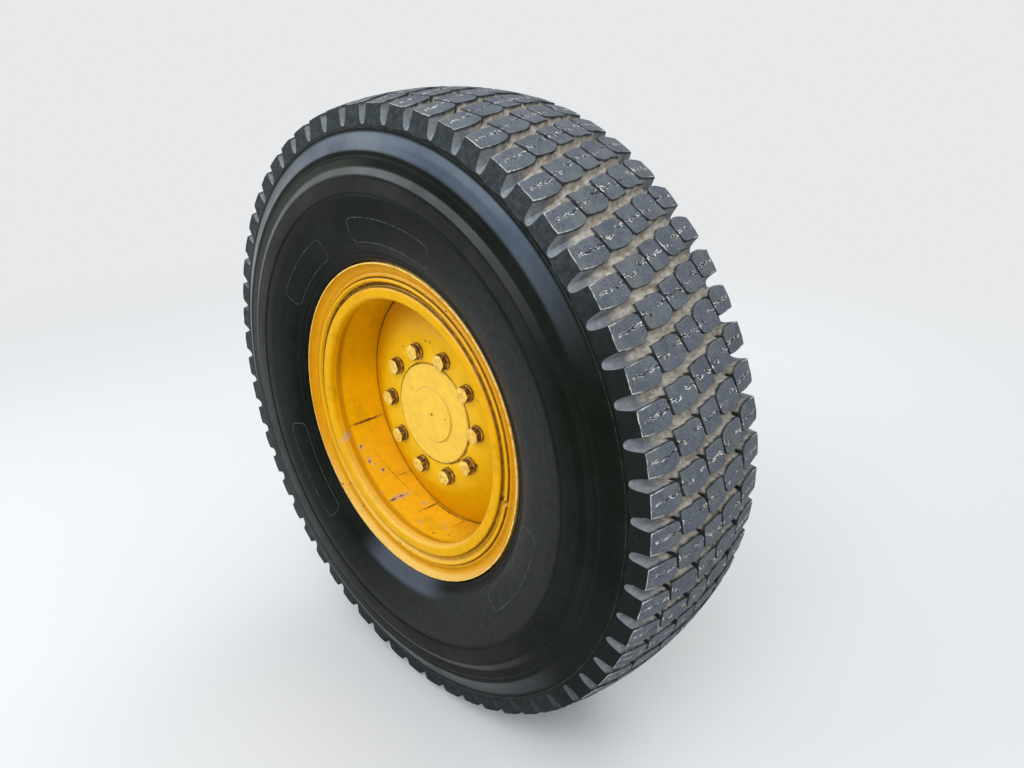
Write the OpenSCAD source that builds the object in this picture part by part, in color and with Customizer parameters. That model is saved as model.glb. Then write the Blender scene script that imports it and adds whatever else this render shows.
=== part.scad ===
// Driven rear wheel of a motor grader, with the wheel end that carries it.
// The wheel end bolts to the side of the tandem case. The tyre sits on a three-piece rim,
// whose disc is screwed to the flange of the wheel shaft.
//
// The origin is the middle of the wheel end's mounting face, on the wheel's axis.
// +Y points along the axis into the tandem case, and +Z points up.
// Inside axle_frame() the axis is local Z, which points away from the machine,
// and inside wheel_frame() its zero is the tyre's centre plane.
// A clock angle is measured from the top, clockwise as seen from outside.

/* [Tyre] */
// Diameter over the middle of the tread
tyre_d = 1353; // [1340:1:1370]
// Drop of the tread from its middle to its two shoulder corners
crown_drop = 19; // [14:0.5:24]
// Width of the tread between its shoulder corners
tread_w = 320; // [310:1:330]
// Width of the casing at its widest moulded band
section_w = 386; // [380:1:392]
// Number of tread pitches round the tyre
pitches = 59; // [56:1:62]
// Depth of the wide grooves that run across the tread
groove_depth = 22; // [16:1:26]
// Width of such a groove between the inner blocks
groove_w = 18; // [14:0.5:20]
// Width of such a groove where it leaves the shoulder
shoulder_groove_w = 25; // [20:0.5:28]
// Slant of such a groove, from the way along the axis
groove_slant = 16.4; // [12:0.2:17]
// Clock angle of the middle of the first pitch
tread_angle = 3.35; // [0:0.05:6]
// Width of the narrow grooves between neighbouring rows of blocks
ring_groove_w = 5; // [3:0.5:7]
// Depth of the narrow grooves
ring_groove_depth = 14; // [8:1:16]
// Length of the middle row of blocks along the axis
centre_row_w = 60; // [52:1:68]
// Length of the rows next to it along the axis
second_row_w = 64; // [58:1:68]
// Thickness of rubber and belts under the grooves
under_tread = 20; // [16:1:24]
// Thickness of the sidewall
sidewall_t = 20; // [16:1:24]

/* [Rim] */
// Diameter of the bead seats at the flanges
bead_seat_d = 609.6; // [606:0.1:612]
// Width of each bead seat
bead_w = 39; // [36:1:42]
// Taper of the bead seats
seat_taper = 5; // [4:0.5:6]
// Distance between the two flanges
rim_w = 254; // [250:1:258]
// Height of the flanges over the bead seats
flange_h = 47.2; // [44:0.1:50]
// Radius in which the flanges curl outwards
curl_r = 26; // [22:1:30]
// How far the flanges reach out from their foot to their lip
lip_out = 36.5; // [34:0.5:39]
// Rounding of the lips
lip_round = 3.5; // [2:0.5:5]
// Thickness of the back flange
back_flange_t = 14; // [11:0.5:16]
// How far the side ring's outer face falls back from its lip to the lock ring
face_recess = 14.5; // [11:0.5:17]
// Step from the bead seats down to the outside of the rim base
base_step = 13.8; // [12:0.1:16]
// Wall of the rim base between the beads
base_wall = 10; // [8:0.5:12]
// Step from the bead seats down to the gutter land that the side ring slides over
land_step = 5.8; // [5:0.1:6.5]
// Wall of the gutter between its bore and its land
gutter_wall = 25.5; // [23:0.5:28]
// Depth of the groove that holds the lock ring
gutter_groove_depth = 11; // [8:0.5:12]
// Width of the groove that holds the lock ring
gutter_groove_w = 9; // [7:0.5:10]
// How far the nose of the gutter stands outside the foot of the flange
nose_out = 30; // [28:0.5:32]
// Thickness of the nose outside the lock ring's groove
nose_t = 8; // [6:0.5:10]
// Height of the lock ring over the gutter land
lock_ring_h = 20; // [17:0.5:21]
// Opening between the two ends of the lock ring
lock_ring_split = 14; // [8:1:20]
// Clock angle of the lock ring's opening
lock_ring_angle = 98; // [0:1:359]
// Bore of the hole for the tyre valve
valve_hole_d = 17; // [14:0.5:20]
// Clock angle of the tyre valve
valve_angle = 40; // [0:1:80]

/* [Disc] */
// Thickness of the disc plate
disc_t = 16; // [12:1:20]
// Distance from the centre plane to the disc's outer flat face
disc_face_s = 71; // [66:1:76]
// Distance from the centre plane to the disc's outer face at its weld
disc_weld_s = 16; // [10:1:22]
// Circle of the wheel screws
screw_circle_d = 285.75; // [284:0.25:288]
// From the screw circle out to the end of the disc's flat middle
flat_margin = 33.125; // [30:0.125:36]
// Gap between the pilot and the centre hole of the disc
pilot_gap = 1.5; // [0.5:0.25:2.5]
// Number of wheel screws
screw_count = 10; // [8:1:12]
// Clock angle of the first wheel screw
screw_angle = 17; // [0:0.5:36]
// Thread diameter of the wheel screws
screw_d = 24; // [20:1:27]
// Width across the flats of the screw heads
screw_af = 36; // [30:1:41]
// Height of the screw heads
screw_head_h = 15; // [12:0.5:18]
// Outer diameter of the washers
washer_d = 44; // [42:1:50]
// Thickness of the washers
washer_t = 6; // [4:0.5:8]

/* [Wheel shaft] */
// From the screw circle in to the pilot that centres the disc
pilot_margin = 28.875; // [27:0.125:31]
// How far the pilot stands out of the disc's flat face
pilot_out = 2.5; // [1:0.5:6]
// Diameter of the raised middle of the pilot's face
pilot_boss_d = 127; // [110:1:140]
// Height of the raised middle of the pilot's face
pilot_boss_h = 4; // [2:0.5:6]
// From the screw circle out to the edge of the wheel shaft's flange
hub_margin = 29.125; // [26:0.125:32]
// Thickness of the wheel shaft's flange
hub_flange_t = 30; // [26:1:34]
// Diameter of the shaft where the seal runs on it
seal_journal_d = 236; // [230:1:240]
// Diameter of the shaft in the outer bearing seat
outer_journal_d = 200; // [190:1:206]
// Diameter of the shaft in the inner bearing seat
inner_journal_d = 150; // [140:1:156]
// Diameter of the plain seat for the drive sprocket
sprocket_seat_d = 124; // [118:1:130]
// Length of the plain seat for the drive sprocket
sprocket_seat_l = 26; // [20:1:32]
// Diameter over the splines
spline_d = 116; // [110:1:118]
// Number of splines
spline_count = 24; // [20:1:28]
// Length of the splines
spline_l = 72; // [60:1:80]
// Radial clearance of the shaft in its bearing seats and seal
running_gap = 0.05; // [0.02:0.01:0.1]

/* [Wheel end] */
// Distance from the mounting face to the tyre's centre plane
wheel_offset = 235; // [232:1:240]
// Diameter of the brake housing
brake_d = 396; // [388:1:400]
// Length of the brake housing from the mounting face to its joint
brake_l = 128; // [120:1:134]
// How far the mounting flange stands outside the brake housing
mount_flange_out = 37; // [34:1:42]
// Thickness of the mounting flange
mount_flange_t = 26; // [22:1:30]
// From the brake housing out to the circle of the holes in the mounting flange
mount_circle_out = 18; // [16:1:21]
// Number of holes in the mounting flange
mount_holes = 16; // [12:1:18]
// Diameter of the holes in the mounting flange
mount_hole_d = 22; // [18:1:24]
// From the brake housing in to the spigot that centres the wheel end
spigot_step = 18; // [15:1:23]
// Length of the spigot
spigot_l = 14; // [10:1:18]
// Wall of the spigot
spigot_wall = 30; // [25:1:35]
// How far the flanges at the joint of the two housings stand outside the brake housing
joint_flange_out = 17; // [14:1:20]
// Thickness of each flange at the joint
joint_flange_t = 18; // [14:1:22]
// From the brake housing out to the circle of the screws in the joint
joint_circle_out = 5; // [3:0.5:7]
// Number of screws in the joint
joint_screws = 12; // [8:1:16]
// Thread diameter of the screws in the joint
joint_screw_d = 14; // [12:1:16]
// From the circle of those screws in to the bearing housing beside the joint
bearing_root_step = 27; // [23:1:33]
// How far the nose of the bearing housing stands outside the seal carrier's flange
nose_margin = 3; // [0:0.5:6]
// Number of ribs on the bearing housing
rib_count = 8; // [6:1:12]
// Thickness of the ribs
rib_t = 12; // [8:1:16]
// Length of the seal carrier beyond the nose
seal_out = 18; // [12:1:22]
// Free space between the seal carrier and the wheel shaft's flange
seal_free = 14; // [8:1:18]
// Width of the seal carrier's flange round the shaft
seal_flange_w = 27; // [24:1:30]
// Number of screws in the seal carrier
seal_screw_count = 8; // [6:1:10]

/* [Hidden] */
$fn = 96;

// Clearance between pieces that are assembled face to face round a circle
fit_gap = 0.25;
// Overrun of a cutter past the face that it opens
over = 1;

tyre_r = tyre_d / 2;
shoulder_r = tyre_r - crown_drop;
tread_h = tread_w / 2;
section_h = section_w / 2;
seat_r = bead_seat_d / 2;
flange_s = rim_w / 2;
flange_r = seat_r + flange_h;
lip_s = flange_s + lip_out;
base_r = seat_r - base_step - base_wall;
land_r = seat_r - land_step;
gutter_r = land_r - gutter_wall;
nose_s = flange_s + nose_out;
lock_r = land_r + lock_ring_h;

// The flange curls outwards round this centre
curl_centre = [flange_r - curl_r, flange_s + curl_r];
bead_toe_s = flange_s - bead_w;
toe_r = seat_r - (flange_s - bead_toe_s) * tan(seat_taper);

// Lock ring groove in the gutter
groove_out_s = nose_s - nose_t;
groove_in_s = groove_out_s - gutter_groove_w;
groove_floor_r = land_r - gutter_groove_depth;

// Disc and shaft, round the screw circle
screw_circle_r = screw_circle_d / 2;
disc_flat_r = screw_circle_r + flat_margin;
pilot_r = screw_circle_r - pilot_margin;
disc_bore_r = pilot_r + pilot_gap;
hub_flange_r = screw_circle_r + hub_margin;

// Shaft and bearing housing, measured from the mounting face
disc_face_z = wheel_offset + disc_face_s;
hub_face_z = disc_face_z - disc_t;
hub_back_z = hub_face_z - hub_flange_t;
seal_z = hub_back_z - seal_free;
nose_z = seal_z - seal_out;

// Housings, outwards from the brake housing and from the seal
brake_r = brake_d / 2;
mount_flange_r = brake_r + mount_flange_out;
mount_circle_r = brake_r + mount_circle_out;
spigot_r = brake_r - spigot_step;
spigot_bore_r = spigot_r - spigot_wall;
joint_flange_r = brake_r + joint_flange_out;
joint_circle_r = brake_r + joint_circle_out;
bearing_root_r = joint_circle_r - bearing_root_step;
seal_flange_r = seal_journal_d / 2 + seal_flange_w;
bearing_nose_r = seal_flange_r + nose_margin;
hex_corner = 1 / cos(30);

// Points along an arc from one angle to another, as [radius, distance] pairs. Its angles are
// counted from the way to the centre plane, turning outwards.
function arc(centre, r, from, to, steps) =
    [for (i = [0:steps]) let (a = from + (to - from) * i / steps)
        [centre[0] + r * sin(a), centre[1] - r * cos(a)]];
// The same outline on the other side of the centre plane
function mirrored(points) = [for (i = [len(points) - 1:-1:0]) [points[i][0], -points[i][1]]];
// Radius of the tread's crown at a distance from the centre plane
crown_r = (tread_h * tread_h + pow(tyre_r - shoulder_r, 2)) / (2 * (tyre_r - shoulder_r));
function crown(s) = tyre_r - crown_r + sqrt(crown_r * crown_r - s * s);

// Local Z runs along the axle, away from the machine, from the mounting face
module axle_frame() { rotate([90, 0, 0]) children(); }
// The same, from the tyre's centre plane
module wheel_frame() { axle_frame() translate([0, 0, wheel_offset]) children(); }
// A place on the clock: local +Y is turned to the clock angle
module clock(a) { rotate([0, 0, -a]) children(); }
// Copies round the axle
module around(count, first = 0) { for (i = [0:count - 1]) clock(first + i * 360 / count) children(); }
// A ring turned about the axle from an outline of [radius, distance] points
module turned(points) { rotate_extrude() polygon(points); }
// A plain tube along the axle
module tube(r_out, r_in, low, high) {
    translate([0, 0, low]) difference() {
        cylinder(r = r_out, h = high - low);
        translate([0, 0, -over]) cylinder(r = r_in, h = high - low + 2 * over);
    }
}
// A hexagon head with its chamfered end away from local Z zero
module hex_head(af, h) {
    corner_r = af / 2 * hex_corner;
    intersection() {
        cylinder(r = corner_r, h = h, $fn = 6);
        union() {
            cylinder(r = corner_r + over, h = h - af * 0.05);
            translate([0, 0, h - af * 0.05])
                cylinder(r1 = corner_r, r2 = corner_r - af * 0.09, h = af * 0.05);
        }
    }
}

// Tyre

// Height on the sidewall, as a share of the way from the flange to the shoulder
function wall_r(h) = flange_r + h * (shoulder_r - flange_r);
// Points at such a height. They stand out by a share of the way from the lip,
// or from the shoulder corner, to the widest band.
function by_lip(h, out) = [wall_r(h), lip_s + out * (section_h - lip_s)];
function by_shoulder(h, out) = [wall_r(h), tread_h + out * (section_h - tread_h)];
tyre_side = concat(
    [[toe_r + fit_gap, bead_toe_s - 2],
     [seat_r + fit_gap, flange_s - fit_gap]],
    arc(curl_centre, curl_r + 2 * fit_gap, 0, 72, 4),
    [[flange_r + 4, lip_s - 2],
     by_lip(0.05, 0.19), by_lip(0.14, 0.60), by_lip(0.26, 0.86), by_lip(0.37, 0.98),
     by_lip(0.45, 0.98), by_shoulder(0.585, 1), by_shoulder(0.62, 0.82),
     by_shoulder(0.72, 0.75), by_shoulder(0.785, 0.455), by_shoulder(0.85, 0.24),
     by_shoulder(0.915, 0.15)]);
row_edges = [centre_row_w / 2, centre_row_w / 2 + second_row_w];
tyre_crown = [[shoulder_r, tread_h], [crown(row_edges[1]), row_edges[1]],
    [crown(row_edges[0]), row_edges[0]]];
cavity_side = [
    [crown(0) - groove_depth - under_tread, 0],
    [crown(0) - groove_depth - under_tread - 3, tread_h * 0.4],
    [shoulder_r - groove_depth - under_tread, tread_h - 40],
    [wall_r(0.77), tread_h - 14],
    [wall_r(0.64), section_h - sidewall_t - 2],
    [wall_r(0.36), section_h - sidewall_t],
    [wall_r(0.165), section_h - sidewall_t - 14],
    [wall_r(0.016), flange_s - 4],
    [seat_r + 22, bead_toe_s + 4]];

module tyre_casing() {
    turned(concat(tyre_side, tyre_crown, mirrored(tyre_crown), mirrored(tyre_side),
        mirrored(cavity_side), cavity_side));
}

// Across the tread a groove runs aslant by about one pitch, and straight out over each shoulder
pitch_angle = 360 / pitches;
pitch_w = pitch_angle * PI / 180 * tyre_r;
bend_s = row_edges[1] + 8;
bend_x = bend_s * tan(groove_slant);
groove_plan = [
    [bend_x - groove_w / 2, bend_s], [bend_x + groove_w / 2, bend_s],
    [-bend_x + groove_w / 2, -bend_s], [-bend_x - groove_w / 2, -bend_s]];
// The shoulder's part of a groove has a round floor. It dips outwards by this angle,
// starts this far inside the bend, and is turned to end at the pitch's edge.
shoulder_tilt = 22;
shoulder_lap = 8;
shoulder_turn = atan((pitch_w / 2 - bend_x) / (tread_h - bend_s));
// Overrun of a tread cutter past the crown and the shoulders
tread_over = 60;

// One groove across the tread, its middle at the top of the clock
module cross_groove() {
    translate([0, crown(0) - groove_depth, 0])
        rotate([-90, 0, 0]) mirror([0, 1, 0]) linear_extrude(tread_over) polygon(groove_plan);
    for (side = [0, 180]) rotate([0, side, 0])
        translate([bend_x, crown(bend_s) - groove_depth + shoulder_groove_w / 2, bend_s])
            rotate([shoulder_tilt, shoulder_turn, 0]) translate([0, 0, -shoulder_lap]) {
                cylinder(d = shoulder_groove_w, h = tread_h - bend_s + tread_over);
                translate([-shoulder_groove_w / 2, 0, 0])
                    cube([shoulder_groove_w, tread_over, tread_h - bend_s + tread_over]);
            }
}

// The narrow grooves between the rows of one pitch stand square to the groove across,
// and each runs from one such groove to the next
ring_groove_l = pitch_w - groove_w / 2;
module ring_grooves() {
    for (s = [row_edges[1], row_edges[0], -row_edges[0], -row_edges[1]])
        clock((s * tan(groove_slant) / pitch_w - sign(s) / 2) * pitch_angle)
            translate([0, crown(s) - ring_groove_depth, s]) rotate([0, groove_slant, 0])
                translate([-ring_groove_l / 2, 0, -ring_groove_w / 2])
                    cube([ring_groove_l, tread_over, ring_groove_w]);
}

module tyre() {
    color([0.10, 0.11, 0.12]) wheel_frame() difference() {
        tyre_casing();
        around(pitches, tread_angle) {
            cross_groove();
            ring_grooves();
        }
    }
}

// Rim

// Outline of a flange on its tyre side, from the bead seat to the lip
flange_curl = concat([[seat_r, flange_s]],
    arc(curl_centre, curl_r, 0, 90, 6),
    [[flange_r, lip_s - lip_round], [flange_r - lip_round, lip_s]]);

// The nose of the gutter is a bead, rounded more towards the bore than towards the lock ring
nose_in_r = 13;
nose_out_r = 7;
nose_round = concat(
    arc([gutter_r + nose_in_r, nose_s - nose_in_r], nose_in_r, 270, 180, 4),
    arc([land_r - 1 - nose_out_r, nose_s - nose_out_r], nose_out_r, 180, 90, 3));

module rim_base() {
    front = [
        [base_r, disc_weld_s], [base_r, nose_s - 36], [base_r - 2, nose_s - 32],
        [gutter_r, nose_s - 19], for (p = nose_round) p,
        [land_r - 1, groove_out_s], [groove_floor_r, groove_out_s],
        [groove_floor_r, groove_in_s], [land_r, groove_in_s], [land_r, bead_toe_s - 6],
        [base_r + base_wall, bead_toe_s - 24]];
    back = concat(
        [[base_r + base_wall, -bead_toe_s + 18], [toe_r, -bead_toe_s]],
        [for (p = flange_curl) [p[0], -p[1]]],
        [for (p = arc(curl_centre, curl_r - back_flange_t, 90, 0, 3)) [p[0], -p[1]]],
        [[seat_r + 4, -flange_s - back_flange_t], [base_r + base_wall, -flange_s - 20],
         [base_r, -flange_s - 20]]);
    color([0.91, 0.66, 0.05]) wheel_frame() difference() {
        turned(concat(front, back));
        clock(valve_angle) translate([0, base_r - 10, valve_s]) rotate([-90, 0, 0])
            cylinder(d = valve_hole_d, h = 40);
    }
}

// A point on the side ring's face, as shares of the way from the lip in to the lock ring
// and of the depth to which the face falls back
function ring_face(way, depth) = [flange_r - way * (flange_r - lock_r), lip_s - depth * face_recess];
module side_ring() {
    color([0.93, 0.69, 0.10]) wheel_frame() turned(concat(
        [[land_r + fit_gap, bead_toe_s], [toe_r, bead_toe_s]],
        flange_curl,
        [ring_face(0.18, 0.055), ring_face(0.39, 0.41), ring_face(0.64, 0.76), ring_face(0.79, 0.93),
         [lock_r + fit_gap, lip_s - face_recess],
         [lock_r + fit_gap, groove_in_s], [land_r + fit_gap, groove_in_s]]));
}

module lock_ring() {
    low = groove_in_s + fit_gap;
    high = groove_out_s - fit_gap;
    color([0.95, 0.72, 0.15]) wheel_frame() difference() {
        turned([
            [groove_floor_r + fit_gap, low], [groove_floor_r + fit_gap, high],
            [land_r + 0.5, high], [land_r + 8, high + 1], [lock_r - 8, nose_s - 3],
            [lock_r - 5.5, nose_s - 1], [lock_r - 2.5, nose_s - 1],
            [lock_r, nose_s - 3.5], [lock_r, low]]);
        clock(lock_ring_angle) translate([-lock_ring_split / 2, 0, low - over])
            cube([lock_ring_split, lock_r + over, nose_s - low + 2 * over]);
    }
}

patch_t = 3;
patch_from = 171.3;
patch_angle = 21.2;
patch_low = disc_weld_s + 8;
patch_high = nose_s - 45;
module rim_patch() {
    color([0.88, 0.64, 0.08]) wheel_frame() clock(patch_from + patch_angle) rotate([0, 0, 90])
        translate([0, 0, patch_low]) rotate_extrude(angle = patch_angle)
            translate([base_r - fit_gap - patch_t, 0]) square([patch_t, patch_high - patch_low]);
}

valve_s = bead_toe_s - 10;
valve_reach = 26;
module valve_stem() {
    color([0.72, 0.62, 0.35]) wheel_frame() clock(valve_angle) {
        translate([0, base_r - valve_reach, valve_s]) rotate([-90, 0, 0]) {
            cylinder(d = 9, h = valve_reach + base_wall);
            translate([0, 0, valve_reach - 8 - fit_gap]) cylinder(r = 11, h = 8, $fn = 6);
        }
        translate([0, base_r - valve_reach, valve_s]) {
            sphere(d = 9);
            cylinder(d = 9, h = 34);
        }
    }
}

module valve_cap() {
    color([0.15, 0.15, 0.15]) wheel_frame() clock(valve_angle)
        translate([0, base_r - valve_reach, valve_s + 34]) {
            cylinder(d = 12, h = 14);
            translate([0, 0, 14]) cylinder(d1 = 12, d2 = 9, h = 2);
        }
}

// Disc

disc_slope = atan((disc_face_s - disc_weld_s) / (base_r - disc_flat_r));
disc_bend_r = 60;
// Where the flat and the slope meet their common arc
bend_start = disc_flat_r - disc_bend_r * tan(disc_slope / 2);
// Outer face of the disc, from its hole to its weld, moved by a depth into the plate
function disc_line(depth) = concat(
    [[disc_bore_r, disc_face_s - depth]],
    [for (i = [0:6]) let (a = disc_slope * i / 6)
        [bend_start + (disc_bend_r - depth) * sin(a),
         disc_face_s - disc_bend_r + (disc_bend_r - depth) * cos(a)]],
    [[base_r - fit_gap, disc_weld_s - depth / cos(disc_slope)]]);

module wheel_disc() {
    // The weld is on the disc's inner face, and its outer edge leaves a narrow gutter
    weld = 8;
    edge_gutter = 3;
    front = disc_line(0);
    back = disc_line(disc_t);
    edge = len(front) - 1;
    color([0.91, 0.66, 0.05]) wheel_frame() difference() {
        turned(concat(
            [for (i = [0:edge - 1]) front[i]],
            [[base_r - fit_gap - edge_gutter, disc_weld_s + edge_gutter * tan(disc_slope)],
             [base_r - fit_gap, disc_weld_s - edge_gutter],
             [base_r - fit_gap, back[edge][1] - weld],
             [base_r - fit_gap - weld, back[edge][1] + weld * tan(disc_slope)]],
            [for (i = [edge - 1:-1:0]) back[i]]));
        around(screw_count, screw_angle)
            translate([0, screw_circle_r, disc_face_s - disc_t - over])
                cylinder(d = screw_d + 2, h = disc_t + 2 * over);
    }
}

screw_grip = 24;
module wheel_screws() {
    color([0.55, 0.33, 0.14]) wheel_frame() around(screw_count, screw_angle)
        translate([0, screw_circle_r, disc_face_s + washer_t]) {
            hex_head(screw_af, screw_head_h);
            translate([0, 0, -washer_t - disc_t - screw_grip])
                cylinder(d = screw_d, h = washer_t + disc_t + screw_grip);
        }
}

module wheel_washers() {
    color([0.80, 0.58, 0.12]) wheel_frame() around(screw_count, screw_angle)
        translate([0, screw_circle_r, 0])
            tube(washer_d / 2, screw_d / 2 + 0.5, disc_face_s, disc_face_s + washer_t);
}

// Wheel shaft

seat_end_z = -spigot_l - sprocket_seat_l;
shaft_end_z = seat_end_z - spline_l;
// The disc's flat lies on the flange up to its bend, and from there the flange falls back
hub_seat_r = bend_start - 1;
module wheel_shaft() {
    spline_root_r = spline_d / 2 - 4;
    tooth = 360 / spline_count;
    color([0.96, 0.78, 0.30]) axle_frame() difference() {
        union() {
            turned([
                [0, seat_end_z], [sprocket_seat_d / 2, seat_end_z],
                [sprocket_seat_d / 2, -spigot_l], [inner_journal_d / 2, -spigot_l],
                [inner_journal_d / 2, brake_l - 8], [inner_journal_d / 2 + 8, brake_l],
                [outer_journal_d / 2, brake_l + 20], [outer_journal_d / 2, nose_z + 2],
                [seal_journal_d / 2, nose_z + 8], [seal_journal_d / 2, hub_back_z - 6],
                [seal_journal_d / 2 + 6, hub_back_z], [hub_flange_r - 3, hub_back_z],
                [hub_flange_r, hub_back_z + 3],
                [hub_flange_r, hub_face_z - (hub_flange_r - hub_seat_r) * tan(disc_slope)],
                [hub_seat_r, hub_face_z], [pilot_r, hub_face_z],
                [pilot_r, disc_face_z + pilot_out - 2],
                [pilot_r - 2, disc_face_z + pilot_out],
                [pilot_boss_d / 2 + 2, disc_face_z + pilot_out],
                [pilot_boss_d / 2 - 1, disc_face_z + pilot_out + pilot_boss_h],
                [0, disc_face_z + pilot_out + pilot_boss_h]]);
            translate([0, 0, shaft_end_z]) linear_extrude(spline_l + over)
                polygon([for (i = [0:spline_count - 1], k = [0:3])
                    let (a = (i + [-0.30, -0.18, 0.18, 0.30][k]) * tooth,
                         r = (k == 0 || k == 3) ? spline_root_r : spline_d / 2)
                    [r * sin(a), r * cos(a)]]);
        }
        around(screw_count, screw_angle) translate([0, screw_circle_r, hub_back_z - over])
            cylinder(d = screw_d + 0.4, h = hub_flange_t + 2 * over);
        around(3) translate([0, 32, shaft_end_z - over]) cylinder(d = 14, h = 36);
        translate([0, 0, disc_face_z + pilot_out + pilot_boss_h - 4])
            cylinder(r1 = 0.5, r2 = 4, h = 4 + 0.01);
    }
}

// Wheel end

seal_flange_t = 8;
seal_screw_d = 8;
seal_screw_r = seal_flange_r - 8;
seal_grip = 12;
port_z = 66;
port_angle = 335;
bleed_angle = 12;
drain_angle = 180;
boss_r = brake_r + 8;

// A round pad on the brake housing for a screwed-in fitting
module housing_boss(a, r) {
    clock(a) translate([0, brake_r - 20, port_z]) rotate([-90, 0, 0]) cylinder(r = r, h = 28);
}
module housing_hole(a, d) {
    clock(a) translate([0, brake_r - 12, port_z]) rotate([-90, 0, 0]) cylinder(d = d, h = 40);
}

module brake_housing() {
    color([0.88, 0.63, 0.06]) axle_frame() difference() {
        union() {
            turned([
                [inner_journal_d / 2 + running_gap, 40], [spigot_bore_r, 40],
                [spigot_bore_r, -spigot_l], [spigot_r - 2, -spigot_l],
                [spigot_r, -spigot_l + 2], [spigot_r, 0], [mount_flange_r, 0],
                [mount_flange_r, mount_flange_t], [brake_r + 10, mount_flange_t],
                [brake_r, mount_flange_t + 10],
                [brake_r, brake_l - joint_flange_t - 8],
                [joint_flange_r, brake_l - joint_flange_t],
                [joint_flange_r, brake_l], [inner_journal_d / 2 + 20, brake_l],
                [inner_journal_d / 2 + running_gap, brake_l - 20]]);
            housing_boss(port_angle, 20);
            housing_boss(bleed_angle, 13);
            housing_boss(drain_angle, 18);
        }
        around(mount_holes, 180 / mount_holes) translate([0, mount_circle_r, -over])
            cylinder(d = mount_hole_d, h = mount_flange_t + 2 * over);
        around(joint_screws) translate([0, joint_circle_r, brake_l - joint_flange_t - 10])
            cylinder(d = joint_screw_d + 0.4, h = joint_flange_t + 20);
        housing_hole(port_angle, 16.4);
        housing_hole(bleed_angle, 10.4);
        housing_hole(drain_angle, 20.4);
    }
}

module bearing_housing() {
    root_r = bearing_root_r;
    nose_r = bearing_nose_r;
    root_z = brake_l + joint_flange_t;
    color([0.88, 0.63, 0.06]) axle_frame() difference() {
        union() {
            turned([
                [outer_journal_d / 2 + running_gap, brake_l], [joint_flange_r, brake_l],
                [joint_flange_r, root_z], [root_r + 8, root_z], [root_r, root_z + 8],
                [nose_r + 6, nose_z - 26], [nose_r, nose_z - 20], [nose_r, nose_z],
                [outer_journal_d / 2 + running_gap, nose_z]]);
            around(rib_count, 180 / rib_count) rotate([90, 0, 90]) translate([0, 0, -rib_t / 2])
                linear_extrude(rib_t) polygon([[nose_r - 10, root_z - 4], [joint_flange_r - 26,
                    root_z - 4], [joint_flange_r - 26, root_z + 4], [nose_r + 2, nose_z - 4],
                    [nose_r - 10, nose_z - 4]]);
        }
        around(joint_screws) translate([0, joint_circle_r, brake_l - over])
            cylinder(d = joint_screw_d + 1, h = joint_flange_t + 2 * over);
        around(seal_screw_count) translate([0, seal_screw_r, nose_z - seal_grip - 4])
            cylinder(d = seal_screw_d + 0.4, h = seal_grip + 5);
    }
}

module housing_screws() {
    color([0.55, 0.50, 0.42]) axle_frame() around(joint_screws)
        translate([0, joint_circle_r, brake_l + joint_flange_t]) {
            hex_head(21, 9);
            translate([0, 0, -2 * joint_flange_t - 2])
                cylinder(d = joint_screw_d, h = 2 * joint_flange_t + 2);
        }
}

module seal_carrier() {
    color([0.84, 0.60, 0.08]) axle_frame() difference() {
        turned([
            [seal_journal_d / 2 + running_gap, nose_z], [seal_flange_r, nose_z],
            [seal_flange_r, nose_z + seal_flange_t],
            [seal_journal_d / 2 + 8, nose_z + seal_flange_t],
            [seal_journal_d / 2 + 6, seal_z], [seal_journal_d / 2 + running_gap, seal_z]]);
        around(seal_screw_count) translate([0, seal_screw_r, nose_z - over])
            cylinder(d = seal_screw_d + 1, h = seal_flange_t + 2 * over);
    }
}

module seal_screws() {
    color([0.55, 0.50, 0.42]) axle_frame() around(seal_screw_count)
        translate([0, seal_screw_r, nose_z + seal_flange_t]) {
            hex_head(13, 5.5);
            translate([0, 0, -seal_flange_t - seal_grip])
                cylinder(d = seal_screw_d, h = seal_flange_t + seal_grip);
        }
}

module brake_fitting() {
    color([0.70, 0.70, 0.68]) axle_frame() clock(port_angle)
        translate([0, boss_r, port_z]) rotate([-90, 0, 0]) {
            cylinder(r = 13, h = 12, $fn = 6);
            translate([0, 0, 12]) cylinder(d = 14, h = 14);
            translate([0, 0, -16]) cylinder(d = 16, h = 16);
        }
}

module bleed_screw() {
    color([0.70, 0.70, 0.68]) axle_frame() clock(bleed_angle)
        translate([0, boss_r, port_z]) rotate([-90, 0, 0]) {
            cylinder(r = 7, h = 8, $fn = 6);
            translate([0, 0, 8]) cylinder(d = 8, h = 10);
            translate([0, 0, -16]) cylinder(d = 10, h = 16);
        }
}

module drain_plug() {
    color([0.55, 0.50, 0.42]) axle_frame() clock(drain_angle)
        translate([0, boss_r, port_z]) rotate([-90, 0, 0]) {
            cylinder(r = 14, h = 10, $fn = 6);
            translate([0, 0, -16]) cylinder(d = 20, h = 16);
        }
}

brake_housing();
bearing_housing();
housing_screws();
seal_carrier();
seal_screws();
brake_fitting();
bleed_screw();
drain_plug();
wheel_shaft();
wheel_disc();
wheel_screws();
wheel_washers();
rim_base();
side_ring();
lock_ring();
rim_patch();
valve_stem();
valve_cap();
tyre();
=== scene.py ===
# Rear wheel of a motor grader on its wheel end, dressed in worn rubber, dust and chipped yellow paint.
# Lengths are in metres in the row's frame: the wheel's axis is Y, its outer face looks to -Y, Z is up.
# r is the distance from the axis, s the distance outwards from the tyre's centre plane, both in mm,
# and a clock angle in degrees is measured from the top, clockwise as seen from outside.
import math
import random

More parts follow.
